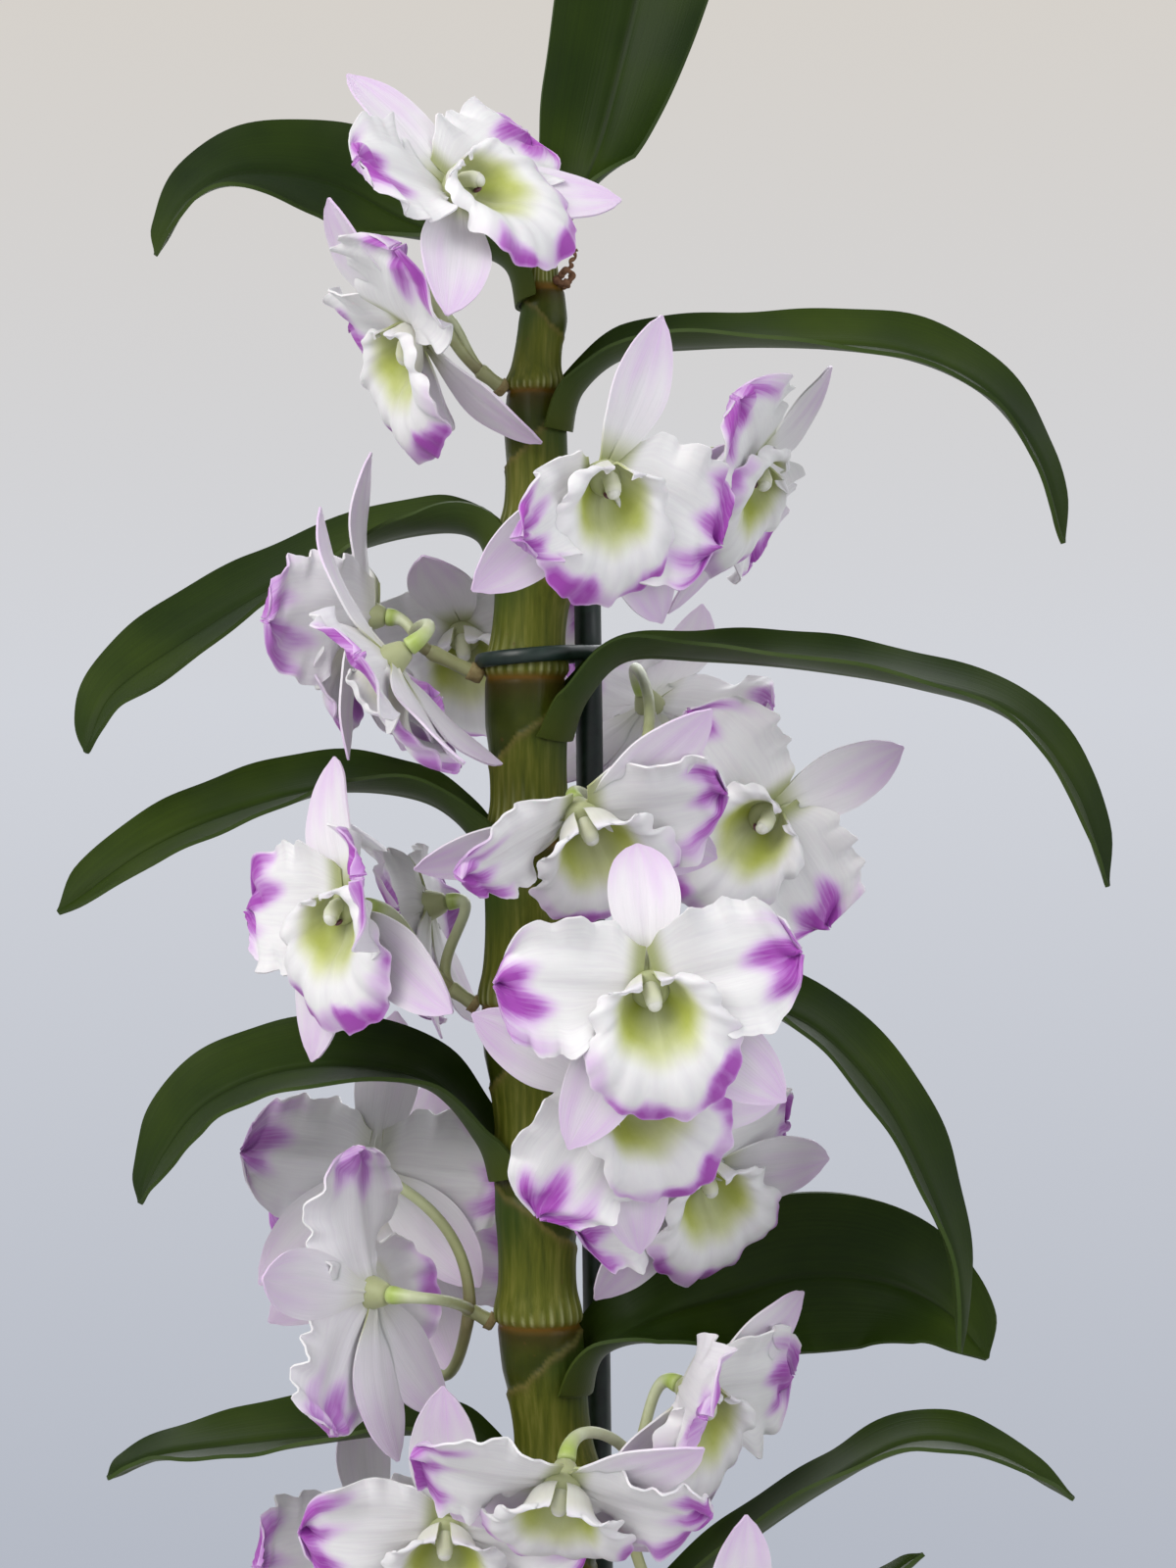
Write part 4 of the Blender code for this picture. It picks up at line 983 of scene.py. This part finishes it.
LEFT_PETAL = dict(
    length=31, half=14.2, turn=180, start=1.5, base=-0.4, rise=(17, -11), cup=0.10, ruffle=2.4)
RIGHT_PETAL = dict(LEFT_PETAL, turn=0)
TEPALS = [
    (TOP_SEPAL, SEPAL_OUTLINE, SEPAL_GRID), (LEFT_SEPAL, SEPAL_OUTLINE, SEPAL_GRID),
    (RIGHT_SEPAL, SEPAL_OUTLINE, SEPAL_GRID), (LEFT_PETAL, PETAL_OUTLINE, PETAL_GRID),
    (RIGHT_PETAL, PETAL_OUTLINE, PETAL_GRID)]
STRAIGHT = (0, 0, 0, 0, 0)
PLAIN_SIZES = (1, 1, 1, 1, 1)
COLUMN_TILT = 32
COLUMN_LENGTH = 6.0
COLUMN_SHARES = (0, 0.17, 0.46, 0.75, 0.92, 1.0)
COLUMN_RADII = (2.3, 2.0, 1.8, 1.8, 1.7, 1.0)
LIP_SPAN = 168
LIP_TILT = 14
LIP_DROP = 7.0
LIP_PROFILE = [(3.0, 0.5), (5.9, 3.0), (8.0, 7.8), (10.8, 11.2), (14.0, 12.4), (17.0, 11.4)]
LIP_GRID = (132, 24)
LIP_FRONT_LONGER = 0.13
LIP_BACK_SHORTER = 0.22
LIP_BACK_LOWER = 0.42
LIP_FRONT_BEND = 3.5
LIP_RUFFLE = 1.0
PHASE_STEP = 1.7
HEART_HEIGHTS = (-5, -4.4, -3, -1, 1.0, 2.0, 2.6)
HEART_RADII = (1.6, 2.3, 2.9, 3.6, 4.0, 3.0, 1.0)
# The heart keeps u at 0 and a throat share of 0.75, so it takes the darkest lime: painted shade at
# the bottom of the throat.
HEART_TINT = (0.0, 0.0, 0.75, 0.5)


def patchy(u, v, phase):
    """An uneven value from 0 to 1 over a petal, out of a few slow waves."""
    slow, quick = np.sin(5.1 * u + 3.3 * v + phase), np.sin(9.7 * v - 4.3 * u + 2.1 * phase)
    return 0.5 + 0.25 * slow + 0.25 * quick


def tepal_place(shape, outline, phase, petal):
    """Where the points of a sepal or petal lie: a strip that leaves the heart and bends back."""
    turn = math.radians(shape["turn"])
    start, end = (math.radians(a) for a in shape["rise"])
    length, half, foot, base = (shape[key] * MM for key in ("length", "half", "start", "base"))
    out = np.array((math.cos(turn), math.sin(turn), 0))
    wide = np.array((-math.sin(turn), math.cos(turn), 0))
    up = np.array((0, 0, 1.0))
    bend = end - start

    def place(u, v):
        rise = start + bend * u
        reach = foot + length / bend * (np.sin(rise) - math.sin(start))
        height = base - length / bend * (np.cos(rise) - math.cos(start))
        face = up * np.cos(rise)[:, None] - out * np.sin(rise)[:, None]
        width = half * between(outline, u)
        if petal:
            under = smoothstep(0.0, 0.4, -math.copysign(1, math.cos(turn)) * v)
            width = width * (1 - 0.75 * under * (1 - smoothstep(0.08, 0.52, u)))
        lift = shape["cup"] * width * v**2
        swell = np.sin(math.pi * np.minimum(u * 1.1, 1))
        wave = np.sin(math.tau * 1.4 * u + phase + np.where(v > 0, 1.9, 0))
        lift = lift + shape["ruffle"] * MM * v**2 * wave * swell
        if petal:
            around = 3.2 * u + 0.55 * np.sign(v) * (1 - u) + 0.9 * v * u**2
            fine = np.sin(math.tau * 1.25 * around + 2.3 * phase)
            finer = np.sin(math.tau * 2.7 * around + 1.1 * phase)
            rim_share = np.maximum(v**4, smoothstep(0.72, 1.0, u))
            lift = lift + MM * rim_share * (1.2 * fine + 0.40 * finer) * np.minimum(3 * u, 1)
            width = width * (1 + 0.045 * fine * v**2 + 0.016 * finer * v**2)
            lift = lift - MM * 1.6 * smoothstep(0.80, 1.0, u) * (0.3 + 0.7 * math.sin(phase) ** 2)
            pleats = np.sin(6.5 * v + 1.3 * phase) + 0.6 * np.sin(11.0 * v + 3 * u + phase)
            lift = lift + 0.32 * MM * pleats * smoothstep(0.1, 0.6, u)
        lift = lift - 0.45 * MM * np.exp(-((v / 0.05) ** 2)) * (1 - u)
        points = out * reach[:, None] + up * height[:, None] + wide * (width * v)[:, None]
        points = points + face * lift[:, None]
        uneven = patchy(u, v, phase)
        if petal:
            aside = v - 0.4 * math.sin(3 * phase)
            tip = smoothstep(0.60, 1.0, u + 0.34 * (uneven - 0.5) - 0.10 * aside**2)
            margin = smoothstep(0.0, 0.06, 1 - np.abs(v)) * (1 - 0.7 * smoothstep(0.965, 1.0, u))
            blush = tip * (0.35 + 0.65 * margin) + 0.06 * u * uneven
        else:
            blush = 0.05 + 0.20 * smoothstep(0.35, 1.05, u + 0.35 * (uneven - 0.5))
            blush = blush * smoothstep(0.05, 0.4, u)
        throat = (1 - smoothstep(0.02, 0.16 if petal else 0.26, u)) * 0.8
        return points, np.stack([u, blush, throat, 0.5 + 0.5 * v], -1)

    return place


def lip_place(phase, swing):
    """Where the points of the lip lie: a funnel open at the top, its front lobe longest."""
    tilt = math.radians(LIP_TILT)
    axis = np.array((0, -math.sin(tilt), math.cos(tilt)))
    down = np.array((0, -math.cos(tilt), -math.sin(tilt)))
    side = np.array((1.0, 0, 0))
    swung = np.array(Matrix.Rotation(-math.radians(swing), 3, "X"))
    steps = len(LIP_PROFILE) - 1
    radii = [(i / steps, r) for i, (r, _) in enumerate(LIP_PROFILE)]
    heights = [(i / steps, h) for i, (_, h) in enumerate(LIP_PROFILE)]

    def place(u, v):
        angle = math.radians(LIP_SPAN) * v
        front = (1 + np.cos(angle)) / 2
        notch = np.exp(-(((np.abs(v) - 0.60) / 0.055) ** 2))
        fringe = np.sin(angle * 15 + phase) + 0.7 * np.sin(angle * 27 + 2 * phase)
        longer = 1 + u * (LIP_FRONT_LONGER + LIP_BACK_SHORTER) * front - u * LIP_BACK_SHORTER
        corner = smoothstep(0.80, 1.0, np.abs(v))
        radius = between(radii, u) * longer * (1 - 0.16 * u**2 * notch - 0.26 * u**2 * corner)
        radius = radius + 0.32 * u**6 * fringe
        height = between(heights, u) * (1 - LIP_BACK_LOWER * (1 - front))
        height = height - LIP_FRONT_BEND * u**3 * front
        height = height + LIP_RUFFLE * u * u * np.sin(angle * 4 + phase)
        crimp = 0.75 * np.sin(angle * 9 + 1.7 * phase) + 0.40 * np.sin(angle * 17 + phase)
        keel = np.exp(-((v / 0.055) ** 2)) * np.sin(math.pi * np.clip(u / 0.55, 0, 1))
        height = height + u**3 * crimp + 0.9 * keel
        spoke = down * np.cos(angle)[:, None] + side * np.sin(angle)[:, None]
        points = spoke * radius[:, None] + axis * height[:, None] + down * (LIP_DROP * u)[:, None]
        uneven = patchy(1.3 * u, 2 * v, phase)
        reach = u + 0.20 * (uneven - 0.5) + 0.012 * fringe
        patches = 0.5 + 0.5 * np.sin(5.3 * angle + 2.9 * phase) + 0.25 * np.cos(angle)
        patches = 0.35 + 0.65 * smoothstep(0.25, 0.80, patches)
        band = smoothstep(0.76, 0.94, reach) * smoothstep(0.45, 0.85, front) * patches
        blush = np.clip(band, 0, 1) * (1 - 0.5 * smoothstep(0.975, 1.0, u))
        flank = 0.72 + 0.28 * np.exp(-(((np.abs(v) - 0.36) / 0.22) ** 2))
        throat = (1 - smoothstep(0.34, 0.62, u + 0.02 * np.sin(angle * 7 + phase))) * flank
        return points @ swung.T * MM, np.stack([u, blush, throat, 0.5 + 0.5 * v], -1)

    return place


def petal_finish(name, white, lilac, purple, deep, blush_share, lime_share):
    """Petal skin over one face: white, flushed through lilac to purple, with fine fanned veins."""
    made, tree, shader = finish_with(name)
    u, blush, throat, across = painted(tree, "tints")
    lines = linked(tree, "ShaderNodeCombineXYZ", {
        "X": figured(tree, "MULTIPLY", across, 34.0), "Y": figured(tree, "MULTIPLY", u, 3.0)})
    veins = noise(tree, lines.outputs["Vector"], 1.0, 2.0, 0.5)
    mottle = noise(tree, object_place(tree), 210.0)
    uneven = figured(tree, "ADD", figured(tree, "MULTIPLY_ADD", mottle, 0.30, -0.15),
                     figured(tree, "MULTIPLY_ADD", veins, 1.3, -0.68))
    share = figured(tree, "ADD", figured(tree, "MULTIPLY", blush, blush_share),
                    figured(tree, "MULTIPLY", uneven, blush))
    skin = ramp(tree, share, [(0.02, white), (0.25, lilac), (0.55, purple), (0.90, deep)])
    vein_shade = ramp(tree, veins, [(0.35, (0.80, 0.74, 0.84)), (0.62, (1.0, 1.0, 1.0))])
    skin = blended(tree, 0.22, skin, vein_shade, "MULTIPLY")
    lime = ramp(tree, mottle, [(0.3, (0.43, 0.48, 0.075)), (0.7, (0.54, 0.58, 0.14))])
    # Painted shade: the lime darkens towards the heart as u falls from 0.45 to 0.05, standing in
    # for the shade deep in the throat.
    lime = blended(tree, mapped(tree, u, 0.45, 0.05), lime, (0.27, 0.31, 0.035))
    fill(tree, shader, {
        "Base Color": tinted(tree, skin, throat, lime_share, lime), "Roughness": 0.52,
        "Subsurface Weight": 0.6, "Subsurface Radius": (0.0045, 0.0040, 0.0042),
        "Sheen Weight": 0.12})
    embossed(tree, shader, veins, 0.22 * MM, 0.35)
    return made


petal_front = petal_finish(
    "petal_front", (0.80, 0.795, 0.795), (0.72, 0.56, 0.77), (0.52, 0.22, 0.60),
    (0.37, 0.055, 0.43), 1.0, 1.0)
petal_back = petal_finish(
    "petal_back", (0.78, 0.765, 0.79), (0.72, 0.58, 0.77), (0.56, 0.32, 0.65),
    (0.44, 0.15, 0.52), 0.9, 0.35)
anther_white = speckled("anther_white", 600.0, 3.0, [
    (0.3, (0.60, 0.60, 0.52)), (0.7, (0.78, 0.78, 0.72))], 0.4)
stigma_purple = speckled("stigma_purple", 700.0, 3.0, [
    (0.3, (0.085, 0.022, 0.050)), (0.7, (0.165, 0.055, 0.095))], 0.35)


def ball(radius, sides, rings, place, finish):
    """A small round piece, put in its place and pressed flatter by a matrix."""
    bpy.ops.mesh.primitive_uv_sphere_add(segments=sides, ring_count=rings, radius=radius * MM)
    made = bpy.context.active_object
    made.data.transform(place)
    made.data.materials.append(finish)
    return rounded(made)


def make_column():
    """The column over the throat: a stout pale rod with its white cap and the dark hollow below."""
    lean = Matrix.Rotation(math.radians(COLUMN_TILT), 4, "X")
    line = [
        lean @ Vector((0, 1.5 * math.sin(math.pi * s), s * COLUMN_LENGTH)) * MM
        for s in COLUMN_SHARES]
    rod = tube("column", line, [r * MM for r in COLUMN_RADII])
    tints = rod.data.attributes["tints"].data
    flat = np.empty(len(rod.data.vertices) * 4, np.float32)
    tints.foreach_get("color", flat)
    flat = flat.reshape(-1, 4)
    flat[:, 1] = 0
    # The column takes part of the throat's lime, less towards its tip: partly its own greenish
    # colour, partly painted shade from the throat it hangs in.
    flat[:, 2] = 0.45 - 0.25 * smoothstep(0.6, 1.0, flat[:, 0])
    tints.foreach_set("color", flat.ravel())
    rod.data.materials.append(petal_front)
    cap_place = lean @ Matrix.Translation((0, 0.3 * MM, (COLUMN_LENGTH - 0.2) * MM))
    cap = ball(1.6, 24, 14, cap_place @ Matrix.Diagonal((0.95, 1, 0.75, 1)), anther_white)
    hollow_place = lean @ Matrix.Translation((0, -1.5 * MM, (COLUMN_LENGTH - 1.7) * MM))
    hollow = ball(1.15, 20, 12, hollow_place @ Matrix.Diagonal((0.9, 0.5, 0.9, 1)), stigma_purple)
    return [rod, cap, hollow]


def copied(piece):
    """A copy of a piece with a mesh of its own."""
    twin = piece.copy()
    twin.data = piece.data.copy()
    bpy.context.collection.objects.link(twin)
    return twin


column = joined("column", make_column())
heart = straight_tube(
    "heart", Vector((0, 0, 0)), Vector((0, 0, MM)), HEART_HEIGHTS, HEART_RADII, 28)
tint_all(heart, HEART_TINT)
heart.data.materials.append(petal_front)

for number, (name, bloom) in enumerate(BLOOMS.items()):
    phase = number * PHASE_STEP
    turns, backs = bloom.get("turns", STRAIGHT), bloom.get("backs", STRAIGHT)
    sizes = bloom.get("sizes", PLAIN_SIZES)
    pieces = []
    for i, (shape, outline, grid) in enumerate(TEPALS):
        petal = outline is PETAL_OUTLINE
        bent = dict(
            shape, turn=shape["turn"] + turns[i], half=shape["half"] * sizes[i],
            rise=(shape["rise"][0] - backs[i] / 3, shape["rise"][1] - backs[i]),
            base=shape["base"] + (PETAL_SINK * min(backs[i], 0) if petal else 0))
        pieces.append(grown_sheet("tepal", *grid, tepal_place(bent, outline, phase + i, petal)))
    pieces.append(grown_sheet("lip", *LIP_GRID, lip_place(phase, bloom.get("lip", 0))))
    for piece in pieces:
        piece.data.materials.append(petal_front)
        piece.data.materials.append(petal_back)
        thickened(piece, PETAL_THICKNESS, back=1)
        piece.select_set(True)
        bpy.ops.object.shade_smooth_by_angle(angle=math.radians(65))
    made = joined(name, pieces + [copied(column), copied(heart)])
    made.data.transform(bloom_turn(bloom))
    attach(made, "root")
    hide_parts(name)

for pattern in (column, heart):
    bpy.data.objects.remove(pattern, do_unlink=True)
